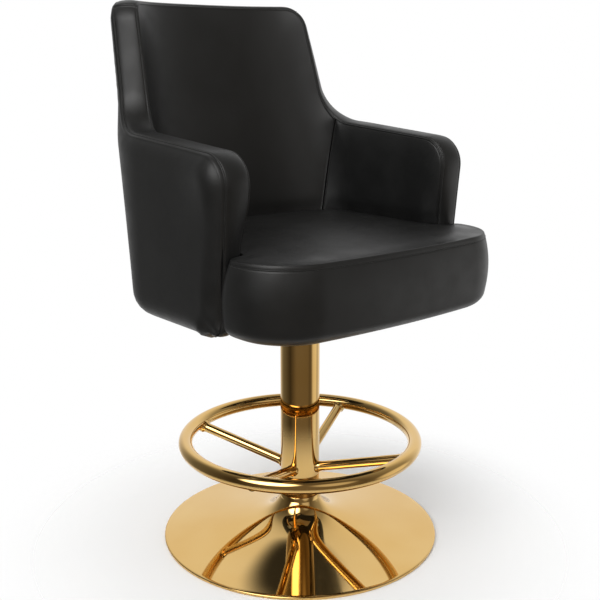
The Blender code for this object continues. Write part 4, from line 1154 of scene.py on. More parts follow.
@dataclass
class BucketShell:
    """Back and arms: an outer cover, an edge band in three parts, and three inner panels."""

    form: ShellForm
    rim: Rim
    outer_puff: float = 0.0135
    outer_puff_reach: float = 0.045
    corner_puff: float = 0.50
    corner_inset: float = 0.030
    corner_reach: float = 0.050
    front_fade: float = 0.120
    lower_round: float = 0.030
    front_round: float = 0.0006
    wrap_under: float = 0.012
    crown: float = 0.0042
    crown_power: float = 2.6
    tuck_top: float = 0.710
    tuck_bottom: float = 0.605
    back_puff: float = 0.0050
    arm_puff: float = 0.0085
    puff_reach: float = 0.020
    puff_bottom: float = 0.605
    puff_fade: float = 0.035
    panel_seam: float = 0.297
    seam_slant: float = 0.088
    inner_bottom: float = 0.560
    seam_gap: float = 0.00012
    stitched_share: float = 0.6
    past_front: float = 0.01
    band_fill_step: float = 0.008

    def round_radius(self, length: Array) -> Array:
        """Radius of the outer cover's round at the bottom."""
        along = smooth((self.form.front - np.abs(length)) / self.front_fade)
        return self.front_round + (self.lower_round - self.front_round) * along

    def outer_row(self, length: Array, height: Array) -> Array:
        """Distance up the outer cover, from its lowest line, at which it reaches a height.

        Args:
            length: lengths along the plan.
            height: the heights.

        Returns:
            The distances.
        """
        radius = self.round_radius(length)
        above = height - self.form.bottom
        turned = radius * np.arccos(np.clip(1 - above / radius, 0, 1))
        return np.where(above < radius, turned, above + radius * (math.pi / 2 - 1))

    def outer_form(self, flat: Array) -> tuple[Array, Array, Array, Array]:
        """Plain form of the outer cover at (length, distance up its face).

        Args:
            flat: (n, 2) points.

        Returns:
            The height, the depth, the angle of the bottom round and its place (reach, height) to compare
            with the rim's.
        """
        length, row = flat[:, 0], flat[:, 1]
        radius = self.round_radius(length)
        angle = np.clip(row / radius, 0, math.pi / 2)
        straight = np.maximum(0, row - radius * math.pi / 2)
        height = self.form.bottom + radius * (1 - np.cos(angle)) + straight
        depth = radius * (1 - np.sin(angle)) + np.maximum(0, -row)
        return height, depth, angle, np.stack([np.abs(length), height], axis=1)

    def place_outer(self, flat: Array, lift: Array, inset: Array) -> Array:
        """Places the outer cover.

        Args:
            flat: (n, 2) points as (length, distance up its face).
            lift: (n,) heights above the plain form.
            inset: (n,) distances from the edge.

        Returns:
            (n, 3) places.
        """
        height, depth, angle, place = self.outer_form(flat)
        gap, number = nearest(place, self.rim.path)
        lobe = self.rim.lobes[number]
        soft = self.rim.roundness(self.rim.path[number, 1])
        near = gap / self.outer_puff_reach
        steep = 1 - np.clip(1 - near, 0, 1) ** 3
        swell = self.outer_puff * ((1 - soft) * steep + soft * smooth(near))
        corner = np.array([self.form.front, self.form.arm_top]) - self.corner_inset
        by_corner = np.exp(-np.sum((place - corner) ** 2, axis=1) / self.corner_reach**2)
        out = swell * (1 + self.corner_puff * by_corner) + lift
        turn = np.clip(1 - gap / lobe, 0, 1) * math.pi / 4
        inward = np.where(turn > 0, lobe * (1 - np.sin(turn)) - gap, 0.0)
        across = self.rim.normals[number] * (out * np.sin(turn) - inward)[:, None]
        depth = depth + lobe * (1 - np.cos(turn)) - out * np.sin(angle) * np.cos(turn)
        height = height + across[:, 1] - out * np.cos(angle)
        return self.form.point(np.sign(flat[:, 0]) * (place[:, 0] + across[:, 0]), height, depth)

    def outer_seam_share(self, flat: Array) -> Array:
        """How much of the seam shows beside points of the outer cover."""
        number = nearest(self.outer_form(flat)[3], self.rim.path)[1]
        return 1 - smooth(self.rim.lobes[number] / self.rim.lobe)

    def tucked(self, height: Array) -> Array:
        """How far the arm's inner front edge draws back, beside the cushion, at a height."""
        return self.form.tuck * smooth((self.tuck_top - height) / (self.tuck_top - self.tuck_bottom))

    def place_inner(self, flat: Array, lift: Array, inset: Array) -> Array:
        """Places an inner panel.

        Args:
            flat: (n, 2) points as (length, height).
            lift: (n,) heights above the plain form.
            inset: (n,) distances from the edge.

        Returns:
            (n, 3) places.
        """
        reach, height = np.abs(flat[:, 0]), flat[:, 1]
        free = smooth((height - self.puff_bottom) / self.puff_fade)
        puff = np.where(reach > self.seam_length(height), self.arm_puff, self.back_puff)
        puff = puff * (1 - np.exp(-inset / self.puff_reach)) * free
        drawn = self.tucked(height) * (1 - smooth((self.form.front - reach) / self.form.tuck_reach))
        length = np.sign(flat[:, 0]) * (reach - drawn)
        return self.form.point(length, height, self.form.thickness + lift + puff - drawn)

    def outer_outline(self) -> Array:
        """Outline of the outer cover.

        Returns:
            Its points as (length, distance up its face), anticlockwise.
        """
        half = self.rim.path - self.rim.normals * self.seam_gap
        half[0, 0] = 0.0
        row = self.outer_row(half[:, 0], half[:, 1])
        half = np.append(half[:, 0], half[-1, 0])
        row = np.append(row, -self.wrap_under)
        right = np.stack([half, row], axis=1)[::-1]
        left = np.stack([-half, row], axis=1)[1:]
        return resample_closed(np.vstack([right, left]), OUTLINE_STEP)

    def seam_length(self, height: Array) -> Array:
        """Length along the plan of the seam between back and arm panels at a height."""
        top = float(self.form.rim_height(np.array([self.panel_seam]))[0])
        return self.panel_seam - self.seam_slant * (top - height) / (top - self.inner_bottom)

    def inner_outline(self, start: float, end: float) -> Array:
        """Outline of an inner panel between two lengths along the plan, anticlockwise.

        Args:
            start: the seam's length at one side.
            end: the other side's, or beyond the arm's front for its edge.

        Returns:
            The outline in (length, height).
        """
        half = np.vstack(self.form.rim(self.seam_gap))
        whole = np.vstack([half[::-1], np.stack([-half[:, 0], half[:, 1]], axis=1)[1:]])
        keep = whole[(whole[:, 0] > start) & (whole[:, 0] < end) & (whole[:, 1] > self.inner_bottom)]
        feet = []
        for length, edge in ((start, keep[-1:]), (end, keep[:1])):
            if abs(length) > self.form.front:
                feet.append([[edge[0, 0], self.inner_bottom]])
                continue
            corner = [[length, float(self.form.rim_height(np.array([length]))[0])]]
            keep = np.vstack([corner, keep] if length == end else [keep, corner])
            feet.append([[length - math.copysign(self.seam_slant, length), self.inner_bottom]])
        return resample_closed(np.vstack([keep, *feet]), OUTLINE_STEP)

    def band_place(self, flat: Array, lift: Array, inset: Array) -> Array:
        """Places the band.

        Args:
            flat: (n, 2) points as (path length from the back's middle, distance across the band).
            lift: (n,) heights above the plain form.
            inset: (n,) distances from the edge.

        Returns:
            (n, 3) places.
        """
        side = np.where(flat[:, 0] < 0, -1.0, 1.0)
        place, normal, lobe = self.rim.at(np.abs(flat[:, 0]))
        thickness = self.form.thickness
        across = np.clip(flat[:, 1] / thickness, 0, 1)
        turn = math.pi / 2 - np.clip(1 - flat[:, 1] / lobe, 0, 1) * math.pi / 4
        tucked = self.tucked(place[:, 1])
        facing = np.arctan2(3 * tucked * across**2, thickness - 2 * tucked * across)
        crown = self.crown * (1 - np.abs(2 * across - 1) ** self.crown_power)
        rise = crown - lobe * (1 - np.sin(turn))
        rise = rise - tucked * across**3 + lift * np.sin(turn) * np.cos(facing)
        depth = np.where(turn < math.pi / 2, lobe * (1 - np.cos(turn)), flat[:, 1])
        depth = depth - tucked * across**2 + lift * (np.sin(facing) - np.cos(turn))
        moved = place + normal * rise[:, None]
        return self.form.point(side * moved[:, 0], moved[:, 1], depth)

    def band_seam_share(self, flat: Array) -> Array:
        """How much of the seam shows beside points of the band."""
        hidden = smooth(self.rim.at(np.abs(flat[:, 0]))[2] / self.rim.lobe)
        return 1 - hidden * (flat[:, 1] < self.form.thickness / 2)

    def on_band(self, flat: Array) -> Array:
        """Which points of the band's stitch row have stitches."""
        return self.band_seam_share(flat) > self.stitched_share

    def by_panel_seam(self, flat: Array) -> Array:
        """Which points of an arm panel's stitch row run beside the seam to the back panel."""
        beside = np.abs(np.abs(flat[:, 0]) - self.seam_length(flat[:, 1])) < 2 * STITCHED.stitch_inset
        return beside & (flat[:, 1] > self.puff_bottom)

    def panels(self) -> list[tuple[Panel, tuple[str, ...]]]:
        """Lists every leather panel.

        Returns:
            Each panel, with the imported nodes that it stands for.
        """
        seam, gap = self.panel_seam, self.seam_gap
        beyond = self.form.front + self.past_front
        outer = Panel("outer_leather", self.outer_outline(), self.place_outer)
        outer.seam_share = self.outer_seam_share
        panels: list[tuple[Panel, tuple[str, ...]]] = [(outer, ("outer_cover", "outer_padding"))]
        sides = (
            ("back", -seam + gap, seam - gap),
            ("right_arm", seam + gap, beyond),
            ("left_arm", -beyond, -seam - gap),
        )
        for name, start, end in sides:
            panel = Panel(f"{name}_leather", self.inner_outline(start, end), self.place_inner)
            if name != "back":
                panel.edge = STITCHED
                panel.has_stitches = self.by_panel_seam
            panels.append((panel, (f"{name}_cover", f"{name}_padding")))
        corner, last = self.rim.top_corner(), float(self.rim.lengths[-1])
        bands = (
            ("top", -corner + gap, corner - gap, ("edge_band", "edge_padding")),
            ("right", corner + gap, last, ()),
            ("left", -last, -corner - gap, ()),
        )
        wide = self.form.thickness
        for name, start, end, nodes in bands:
            strip = np.array([[start, 0.0], [end, 0.0], [end, wide], [start, wide]])
            outline = resample_closed(strip, OUTLINE_STEP)
            panel = Panel(f"{name}_band_leather", outline, self.band_place, STITCHED, self.band_fill_step)
            panel.has_stitches = self.on_band
            panel.seam_share = self.band_seam_share
            panels.append((panel, nodes))
        return panels

    def build(self, palette: Palette) -> list[Piece]:
        """Makes the shell's leather and stitches.

        Args:
            palette: the finishes.

        Returns:
            The pieces.
        """
        leather = palette.get(FauxLeather())
        pieces = []
        rows = []
        for panel, nodes in self.panels():
            piece = panel.build(leather, Body.SEAT, Slot.LEATHER)
            if nodes:
                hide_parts(*nodes)
            pieces.append(piece)
            if panel.edge is STITCHED:
                rows.append(panel.stitch_path())
        pieces.append(Stitching().build("shell_stitches", rows, palette, Body.SEAT))
        return pieces


# The cushion


@dataclass
class SeatCushion:
    """Tee-shaped cushion: a crowned top panel and a side panel that wraps under, sewn together."""

    form: ShellForm
    half_width: float = 0.2740
    front: float = 0.2788
    front_bow: float = 0.008
    front_corner: float = 0.0980
    ear_back: float = 0.1416
    ear_corner: float = 0.018
    ear_fillet: float = 0.006
    arm_slack: float = 0.001
    seam_height: float = 0.6054
    to_shell: float = 0.003
    edge_rise: float = 0.0062
    edge_reach: float = 0.0075
    crown: float = 0.0112
    crown_centre: float = 0.045
    crown_length: float = 0.250
    crown_reach: float = 0.05
    lower_round: float = 0.024
    lip: float = 0.040
    trough: float = 0.0009
    trough_place: float = 0.017
    trough_width: float = 0.008
    side_puff: float = 0.0085
    free_start: float = 0.010
    free_fade: float = 0.020
    slide: float = 0.140
    slide_fade: float = 0.055
    puff_end: float = 0.004
    puff_power: float = 0.9
    lower_seam: float = 0.010
    lower_seam_depth: float = 0.0008
    lower_seam_width: float = 0.0012

    def outline(self) -> Array:
        """Plan of the cushion's seam.

        Returns:
            (n, 2) points, anticlockwise from the front's middle.
        """
        half, front = self.half_width, -self.front
        bow_end = half - self.front_corner
        slope = math.atan(2 * self.front_bow / bow_end)
        corner = self.front_corner / (1 - math.sin(slope))
        corner_y = front + self.front_bow + corner * math.cos(slope)
        shares = np.linspace(0, 1, 40)[:-1]
        arcs = [np.stack([bow_end * shares, front + self.front_bow * shares**2], axis=1)]
        arcs.append(self._arc(half - corner, corner_y, corner, math.degrees(slope) - 90, 0, 120))
        rear = -self.ear_back
        arcs.append(self._arc(half - self.ear_corner, rear - self.ear_corner, self.ear_corner, 0, 90, 40))
        depth = self.form.thickness + self.to_shell
        side, curve = self.form.half_width - depth, self.ear_fillet
        arcs.append(self._arc(side + curve, rear + curve, curve, 270, 180, 30))
        start = self.form.length_at_y(rear + curve)
        shares = np.linspace(1, 0, 90)[1:]
        even = np.ones(len(shares))
        back = self.form.point(start * shares, self.seam_height * even, depth * even)
        arcs.append(back[:, :2])
        right = np.vstack(arcs)
        behind = right[:, 1] + self.ear_back
        across = np.clip((self.form.half_width - right[:, 0]) / self.form.thickness, 0, 1)
        fade = (1 - smooth(behind / self.form.tuck_reach)) * (behind > -self.arm_slack)
        right = right + (self.form.tuck * across**3 * fade)[:, None]
        left = np.stack([-right[1:-1, 0], right[1:-1, 1]], axis=1)[::-1]
        return np.vstack([right, left])

    @staticmethod
    def _arc(x: float, y: float, radius: float, start: float, end: float, steps: int) -> Array:
        """Points of an arc in plan."""
        angles = np.radians(np.linspace(start, end, steps))
        return np.stack([x + radius * np.cos(angles), y + radius * np.sin(angles)], axis=1)

    def place_top(self, flat: Array, lift: Array, inset: Array) -> Array:
        """Places the crowned top.

        Args:
            flat: (n, 2) points of its plan.
            lift: (n,) heights above the plain form.
            inset: (n,) distances from the edge.

        Returns:
            (n, 3) places.
        """
        x, y = flat[:, 0], flat[:, 1]
        across = np.clip(1 - (x / self.half_width) ** 2, 0, 1)
        along = np.clip(1 - ((y + self.crown_centre) / self.crown_length) ** 2, 0, 1)
        share = np.clip(inset / self.edge_reach, 0, 1)
        rise = self.edge_rise * np.sqrt(np.clip(1 - (1 - share) ** 2, 0, 1))
        rise = rise + self.crown * across * along * smooth(inset / self.crown_reach)
        rise = rise - self.trough * np.exp(-(((inset - self.trough_place) / self.trough_width) ** 2))
        return np.stack([x, y, self.seam_height + rise + lift], axis=1)

    def ear_slide(self, seam: Array) -> Array:
        """How far back the side slides as it drops, to follow the arm's leaning front.

        Args:
            seam: (n, 2) points of the seam.

        Returns:
            (n,) slides per metre of drop.
        """
        outer = smooth((seam[:, 1] + self.ear_back + self.slide_fade) / self.slide_fade)
        inner = 1 - smooth((seam[:, 1] + self.ear_back) / self.slide_fade)
        return self.slide * outer * inner

    def side_profile(self) -> Array:
        """Section of the side panel, from its lip under the cushion up to the seam.

        Returns:
            (n, 4) rows: distance in, height up, and the direction out of the leather (inward, up).
        """
        height = self.seam_height - self.form.bottom
        rows: list[tuple[float, float, float, float]] = []
        for share in np.linspace(0, 1, 6):
            rows.append((self.lip + (self.lower_round - self.lip) * share, 0.0, 0.0, -1.0))
        for angle in np.linspace(0, math.pi / 2, 12)[1:]:
            sin, cos = math.sin(angle), math.cos(angle)
            rows.append((self.lower_round * (1 - sin), self.lower_round * (1 - cos), -sin, -cos))
        upper = [height - inset for inset in reversed(STITCHED.insets)]
        for up in [*np.linspace(self.lower_round, upper[0], 15)[1:-1], *upper]:
            rows.append((0.0, float(up), -1.0, 0.0))
        return np.array(rows)

    def side_panel(self, material: Material) -> tuple[Piece, StitchRow]:
        """The side panel as a closed loop of rows, wrapped under the cushion.

        Args:
            material: the leather.

        Returns:
            The piece, and the path of its stitch row.
        """
        seam = resample_closed(self.outline(), OUTLINE_STEP)
        normals = smooth_normals(np.vstack([seam[-1:], seam, seam[:1]]))[1:-1]
        bottom = self.form.bottom
        height = self.seam_height - bottom
        profile = self.side_profile()
        below_seam = height - profile[:, 1]
        groove = np.exp(-(((profile[:, 1] - self.lower_seam) / self.lower_seam_width) ** 2))
        lift = STITCHED.lift(below_seam) - self.lower_seam_depth * groove
        free = smooth((-seam[:, 1] - self.ear_back + self.free_start) / self.free_fade)
        down = np.clip(below_seam / (height - self.puff_end), 0, 1)
        puff = self.side_puff * np.sin(np.pi * down**self.puff_power)
        lean = self.ear_slide(seam)
        shells = []
        for drop in (0.0, LEATHER_THICKNESS):
            out = lift[:, None] + puff[:, None] * free[None, :] - drop
            inset = profile[:, 0:1] + profile[:, 2:3] * out
            level = bottom + profile[:, 1:2] + profile[:, 3:4] * out
            flat = seam[None, :, :] + normals[None, :, :] * inset[:, :, None]
            flat[:, :, 1] += lean[None, :] * below_seam[:, None]
            points = np.concatenate([flat, level[:, :, None]], axis=2)
            shells.append(points.reshape(-1, 3))
        count = len(seam)
        total = len(shells[0])
        faces = grid_faces(len(profile), count, wrap=True)
        faces += [tuple(i + total for i in reversed(face)) for face in faces]
        last = (len(profile) - 1) * count
        for i in range(count):
            after = (i + 1) % count
            faces.append((i, i + total, after + total, after))
            faces.append((last + i, last + after, last + after + total, last + i + total))
        every = np.vstack(shells)
        faces = outwards(every, faces)
        piece = make_piece("seat_side_leather", every, faces, material, Body.SEAT)
        row = int(np.argmin(np.abs(below_seam - STITCHED.stitch_inset)))
        path = shells[0][row * count : (row + 1) * count]
        up = np.concatenate([-normals, np.zeros((count, 1))], axis=1)
        return piece, (path, np.roll(path, -1, axis=0) - np.roll(path, 1, axis=0), up)

    def build(self, palette: Palette) -> list[Piece]:
        """Makes the cushion's leather and stitches.

        Args:
            palette: the finishes.

        Returns:
            The pieces.
        """
        leather = palette.get(FauxLeather())
        outline = resample_closed(self.outline(), OUTLINE_STEP)
        panel = Panel("seat_top_leather", outline, self.place_top)
        top = panel.build(leather, Body.SEAT, Slot.LEATHER)
        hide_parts("seat_top_cover", "seat_foam")
        side, row = self.side_panel(leather)
        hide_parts("seat_side_cover")
        stitches = Stitching().build("seat_stitches", [row], palette, Body.SEAT)
        return [top, side, stitches]


# The gold stand


COLUMN_RADIUS = 0.038


def gold_piece(name: str, mesh: Mesh, palette: Palette, node: str, sharp_deg: float = 75.0) -> Piece:
    """Makes a mirror-gold piece of the stand.

    Args:
        name: the piece's name.
        mesh: its points and faces.
        palette: the finishes.
        node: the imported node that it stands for.
        sharp_deg: angle above which an edge stays sharp.

    Returns:
        The piece.
    """
    points, faces = mesh
    gold = palette.get(MirrorGold())
    piece = make_piece(name, points, outwards(points, faces), gold, Body.STAND, sharp_deg)
    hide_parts(node)
    return piece


@dataclass
class TrumpetBase:
    """Spun cover of the base: a shallow cone that flares up to the column, with a rolled rim."""

    radius: float = 0.270
    neck_radius: float = 0.0398
    rim_height: float = 0.0062
    rim_lift: float = 0.0008
    rim_round: float = 0.0022
    rim_middle: float = 0.0040
    rim_under: float = 0.003
    rim_foot: float = 0.0008
    rim_wall: float = 0.0004
    neck_ease: float = 0.0006
    lip_ease: float = 0.0002
    lip_drop: float = 0.0004
    least_sheet_step: float = 0.001
    crowding: float = 1.8
    edge_slope: float = 0.100
    steepening: float = 0.34
    flare_reach: float = 0.0150
    neck_bottom: float = 0.0742
    neck_height: float = 0.009
    sheet: float = 0.0010
    rim_angles: tuple[float, float] = (70.0, -60.0)
    rim_steps: int = 12
    segments: int = 256
    steps: int = 110

    def height(self, radius: Array) -> Array:
        """Height of the cover's outer face.

        Args:
            radius: distances from the axis.

        Returns:
            The heights.
        """
        inward = self.radius - radius
        dish = self.rim_height + self.edge_slope * inward + self.steepening * inward**2
        whole = self.radius - self.neck_radius
        flare = self.neck_bottom - self.rim_height - self.edge_slope * whole - self.steepening * whole**2
        return dish + flare * np.exp(-(radius - self.neck_radius) / self.flare_reach)

    def build(self, palette: Palette) -> list[Piece]:
        """Makes the cover.

        Args:
            palette: the finishes.

        Returns:
            The pieces.
        """
        shares = np.linspace(0, 1, self.steps) ** self.crowding
        radii = self.neck_radius + (self.radius - self.rim_round - self.neck_radius) * shares
        heights = self.height(radii)
        neck_top = float(heights[0]) + self.neck_height
        inner = self.neck_radius - self.sheet
        profile = [
            (inner + self.lip_ease, neck_top - self.lip_drop),
            (inner + self.neck_ease, neck_top),
            (self.neck_radius - self.neck_ease, neck_top),
            (self.neck_radius, neck_top - self.neck_ease),
        ]
        profile += list(zip(radii.tolist(), heights.tolist()))
        middle = self.radius - self.rim_round
        for angle in np.linspace(*self.rim_angles, self.rim_steps):
            turn = math.radians(angle)
            round_up = self.rim_round * math.sin(turn)
            profile.append((middle + self.rim_round * math.cos(turn), self.rim_middle + round_up))
        profile.append((self.radius - self.rim_foot, self.rim_lift))
        profile.append((middle, self.rim_lift))
        profile.append((middle - self.rim_wall, self.rim_under))
        under = zip(radii[::-1].tolist(), heights[::-1].tolist())
        least = inner + self.least_sheet_step
        profile += [(radius, height - self.sheet) for radius, height in under if radius > least][1:]
        profile.append((inner, float(heights[0]) - 2 * self.sheet))
        return [gold_piece("trumpet_cover", turned_mesh(profile, self.segments), palette, "base_cover")]


@dataclass
class Column:
    """Upright gold tube with eased ends."""

    radius: float = COLUMN_RADIUS
    wall: float = 0.002
    foot: float = 0.0263
    top: float = 0.4595
    ease: float = 0.0004
    top_ease: float = 0.0007
    segments: int = 192

    def build(self, palette: Palette) -> list[Piece]:
        """Makes the tube.

        Args:
            palette: the finishes.

        Returns:
            The pieces.
        """
        bore = self.radius - self.wall
        corners = [
            (bore, self.foot, 0.0),
            (self.radius, self.foot, self.ease),
            (self.radius, self.top, self.top_ease),
            (bore, self.top, self.ease),
        ]
        mesh = turned_mesh(rounded_profile(corners), self.segments)
        return [gold_piece("column", mesh, palette, "column_tube")]


@dataclass
class FootRest:
    """Foot ring on four spokes that rise from the column, with weld fillets at both ends."""

    ring_radius: float = 0.224
    tube: float = 0.0136
    height: float = 0.1942
    spoke: float = 0.0095
    column_radius: float = COLUMN_RADIUS
    column_height: float = 0.1406
    drop: float = 0.0070
    first_deg: float = 27.0
    count: int = 4
    ring_steps: int = 320
    tube_steps: int = 56
    weld: float = 0.0030
    weld_reach: float = 0.0022
    column_overlap: float = 0.0015
    ring_overlap: float = 0.0065
    section_steps: int = 32
    end_stations: tuple[float, ...] = (0.0, 0.0012, 0.0022, 0.0032, 0.0045, 0.006, 0.009, 0.014)
    end_gap: float = 0.006
    plain_start: float = 0.020
    plain_steps: int = 12
    sharp_deg: float = 60.0

    def ring(self) -> Mesh:
        """Turns the ring's round section about the axis.

        Returns:
            Points and faces.
        """
        section = np.linspace(0, math.tau, self.tube_steps, endpoint=False)
        radii = self.ring_radius + self.tube * np.cos(section)
        heights = self.height + self.tube * np.sin(section)
        return turned_mesh(list(zip(radii.tolist(), heights.tolist())), self.ring_steps)

    def spoke_mesh(self, turn: float) -> Mesh:
        """One spoke, which swells into a weld at each end.

        Args:
            turn: the spoke's azimuth in radians.

        Returns:
            Points and faces.
        """
        start = np.array([self.column_radius - self.column_overlap, 0.0, self.column_height])
        end = np.array([self.ring_radius - self.tube / 2, 0.0, self.height - self.drop])
        along = end - start
        length = float(np.linalg.norm(along))
        along /= length
        side = np.array([0.0, 1.0, 0.0])
        up = np.cross(along, side)
        last = length - self.end_gap
        plain = np.linspace(self.plain_start, last - self.plain_start, self.plain_steps)
        stations = [*self.end_stations, *plain, *[last - at for at in reversed(self.end_stations)], length]
        angles = np.linspace(0, math.tau, self.section_steps, endpoint=False)
        points = []
        for at in stations:
            from_column = max(0.0, at - self.column_overlap)
            from_ring = max(0.0, length - self.ring_overlap - at)
            swell = math.exp(-from_column / self.weld_reach) + math.exp(-from_ring / self.weld_reach)
            radius = self.spoke + self.weld * min(swell, 1.0)
            centre = start + along * at
            points += [centre + (side * math.cos(a) + up * math.sin(a)) * radius for a in angles]
        cos, sin = math.cos(turn), math.sin(turn)
        spin = np.array([[cos, -sin, 0], [sin, cos, 0], [0, 0, 1]])
        count = len(angles)
        faces = grid_faces(len(stations), count, wrap=True)
        faces.append(tuple(range(count - 1, -1, -1)))
        faces.append(tuple(range((len(stations) - 1) * count, len(stations) * count)))
        return np.array(points) @ spin.T, faces

    def build(self, palette: Palette) -> list[Piece]:
        """Makes the ring and spokes.

        Args:
            palette: the finishes.

        Returns:
            The pieces.
        """
        pieces = [gold_piece("foot_ring_tube", self.ring(), palette, "foot_ring", self.sharp_deg)]
        for number in range(1, self.count + 1):
            turn = math.radians(self.first_deg) + math.tau * (number - 1) / self.count
            mesh, node = self.spoke_mesh(turn), f"spoke_{number}"
            pieces.append(gold_piece(f"spoke_tube_{number}", mesh, palette, node, self.sharp_deg))
        return pieces


@dataclass
class HiddenGear:
    """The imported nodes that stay: swivel, bolts, board, frame, weight and floor pad."""

    nodes: dict[str, Piece]
    slots: dict[str, str]

    def dress(self, palette: Palette) -> int:
        """Gives each kept node its finish.

        Args:
            palette: the finishes.

        Returns:
            How many nodes were dressed.
        """
        dressed = 0
        for name, node in self.nodes.items():
            if node.hide_render:
                continue
            material = palette.get(NODE_FINISHES[self.slots[name]])
            for place in node.material_slots:
                place.material = material
            dressed += 1
        return dressed


# The studio


class Sky:
    """Builds a world's colour from directions."""

    def __init__(self, tree: bpy.types.NodeTree) -> None:
        """Starts from a world's own node tree.

        Args:
            tree: the node tree, which has a background shader.
        """
        self.tree = tree
        self.generated = tree.nodes.new("ShaderNodeTexCoord").outputs["Generated"]
        self.path = tree.nodes.new("ShaderNodeLightPath")

    def towards(self, direction: Vector) -> Socket:
        """Compares the view with a direction.

        Args:
            direction: a unit vector.

        Returns:
            The cosine of the angle between them.
        """
        node = self.tree.nodes.new("ShaderNodeVectorMath")
        node.operation = "DOT_PRODUCT"
        node.inputs[1].default_value = direction
        self.tree.links.new(self.generated, node.inputs[0])
        return node.outputs["Value"]

    def share(self, source: Socket, low: float, high: float, start: float, end: float) -> Socket:
        """Eases from one value to another, or evenly if the whole range of a cosine is used.

        Args:
            source: the value to read.
            low: value that gives start.
            high: value that gives end.
            start: the result at low.
            end: the result at high.

        Returns:
            The result.
        """
        node = self.tree.nodes.new("ShaderNodeMapRange")
        node.interpolation_type = "LINEAR" if (low, high) == (-1.0, 1.0) else "SMOOTHERSTEP"
        for name, value in (("From Min", low), ("From Max", high), ("To Min", start), ("To Max", end)):
            node.inputs[name].default_value = value
        self.tree.links.new(source, node.inputs["Value"])
        return node.outputs["Result"]

    def ramp(self, source: Socket, stops: Sequence[tuple[float, Triple]]) -> Socket:
        """A colour that changes along a value.

        Args:
            source: the value, from 0 to 1.
            stops: places and linear colours.

        Returns:
            The colour.
        """
        node = self.tree.nodes.new("ShaderNodeValToRGB")
        while len(node.color_ramp.elements) < len(stops):
            node.color_ramp.elements.new(0.5)
        for element, (place, colour) in zip(node.color_ramp.elements, stops):
            element.position = place
            element.color = (*colour, 1.0)
        self.tree.links.new(source, node.inputs["Fac"])
        return node.outputs["Color"]

    def grey(self, level: float) -> Socket:
        """A constant grey.

        Args:
            level: its linear value.

        Returns:
            The colour.
        """
        node = self.tree.nodes.new("ShaderNodeRGB")
        node.outputs[0].default_value = (level, level, level, 1.0)
        return node.outputs[0]

    def _vector(self, operation: str, first: Socket, second: Socket) -> Socket:
        """Joins two colours by a vector operation.

        Args:
            operation: the node's operation.
            first: the first colour.
            second: the second colour, or the factor when the operation is SCALE.

        Returns:
            The result.
        """
        node = self.tree.nodes.new("ShaderNodeVectorMath")
        node.operation = operation
        self.tree.links.new(first, node.inputs[0])
        self.tree.links.new(second, node.inputs["Scale" if operation == "SCALE" else 1])
        return node.outputs["Vector"]

    def plus(self, first: Socket, second: Socket) -> Socket:
        """Adds two colours, or a level to a colour."""
        return self._vector("ADD", first, second)

    def scale(self, colour: Socket, factor: Socket) -> Socket:
        """Dims a colour by a factor."""
        return self._vector("SCALE", colour, factor)

    def either(self, first: str, second: str) -> Socket:
        """Tells whether either of two kinds of ray arrives.

        Args:
            first: the light path's name for one kind.
            second: its name for the other.

        Returns:
            One if so, else zero.
        """
        node = self.tree.nodes.new("ShaderNodeMath")
        node.operation = "MAXIMUM"
        self.tree.links.new(self.path.outputs[first], node.inputs[0])
        self.tree.links.new(self.path.outputs[second], node.inputs[1])
        return node.outputs[0]

    def pick(self, factor: Socket, first: Socket, second: Socket) -> Socket:
        """Picks one of two colours.

        Args:
            factor: zero or one.
            first: the colour at zero.
            second: the colour at one.

        Returns:
            The colour.
        """
        node = self.tree.nodes.new("ShaderNodeMix")
        node.data_type = "RGBA"
        self.tree.links.new(factor, node.inputs["Factor"])
        self.tree.links.new(first, node.inputs[6])
        self.tree.links.new(second, node.inputs[7])
        return node.outputs[2]

    def finish(self, colour: Socket) -> None:
        """Feeds the background."""
        self.tree.links.new(colour, self.tree.nodes["Background"].inputs["Color"])


@dataclass(frozen=True)
class Spot:
    """A round soft-edged spot in the surroundings.

    Its middle has an azimuth, from the camera's side towards the right of the picture, and an elevation.
    Its level holds up to the core angle from there and has faded at the edge angle, all in degrees.
    """

    azimuth: float
    elevation: float
    core: float
    edge: float
    level: float


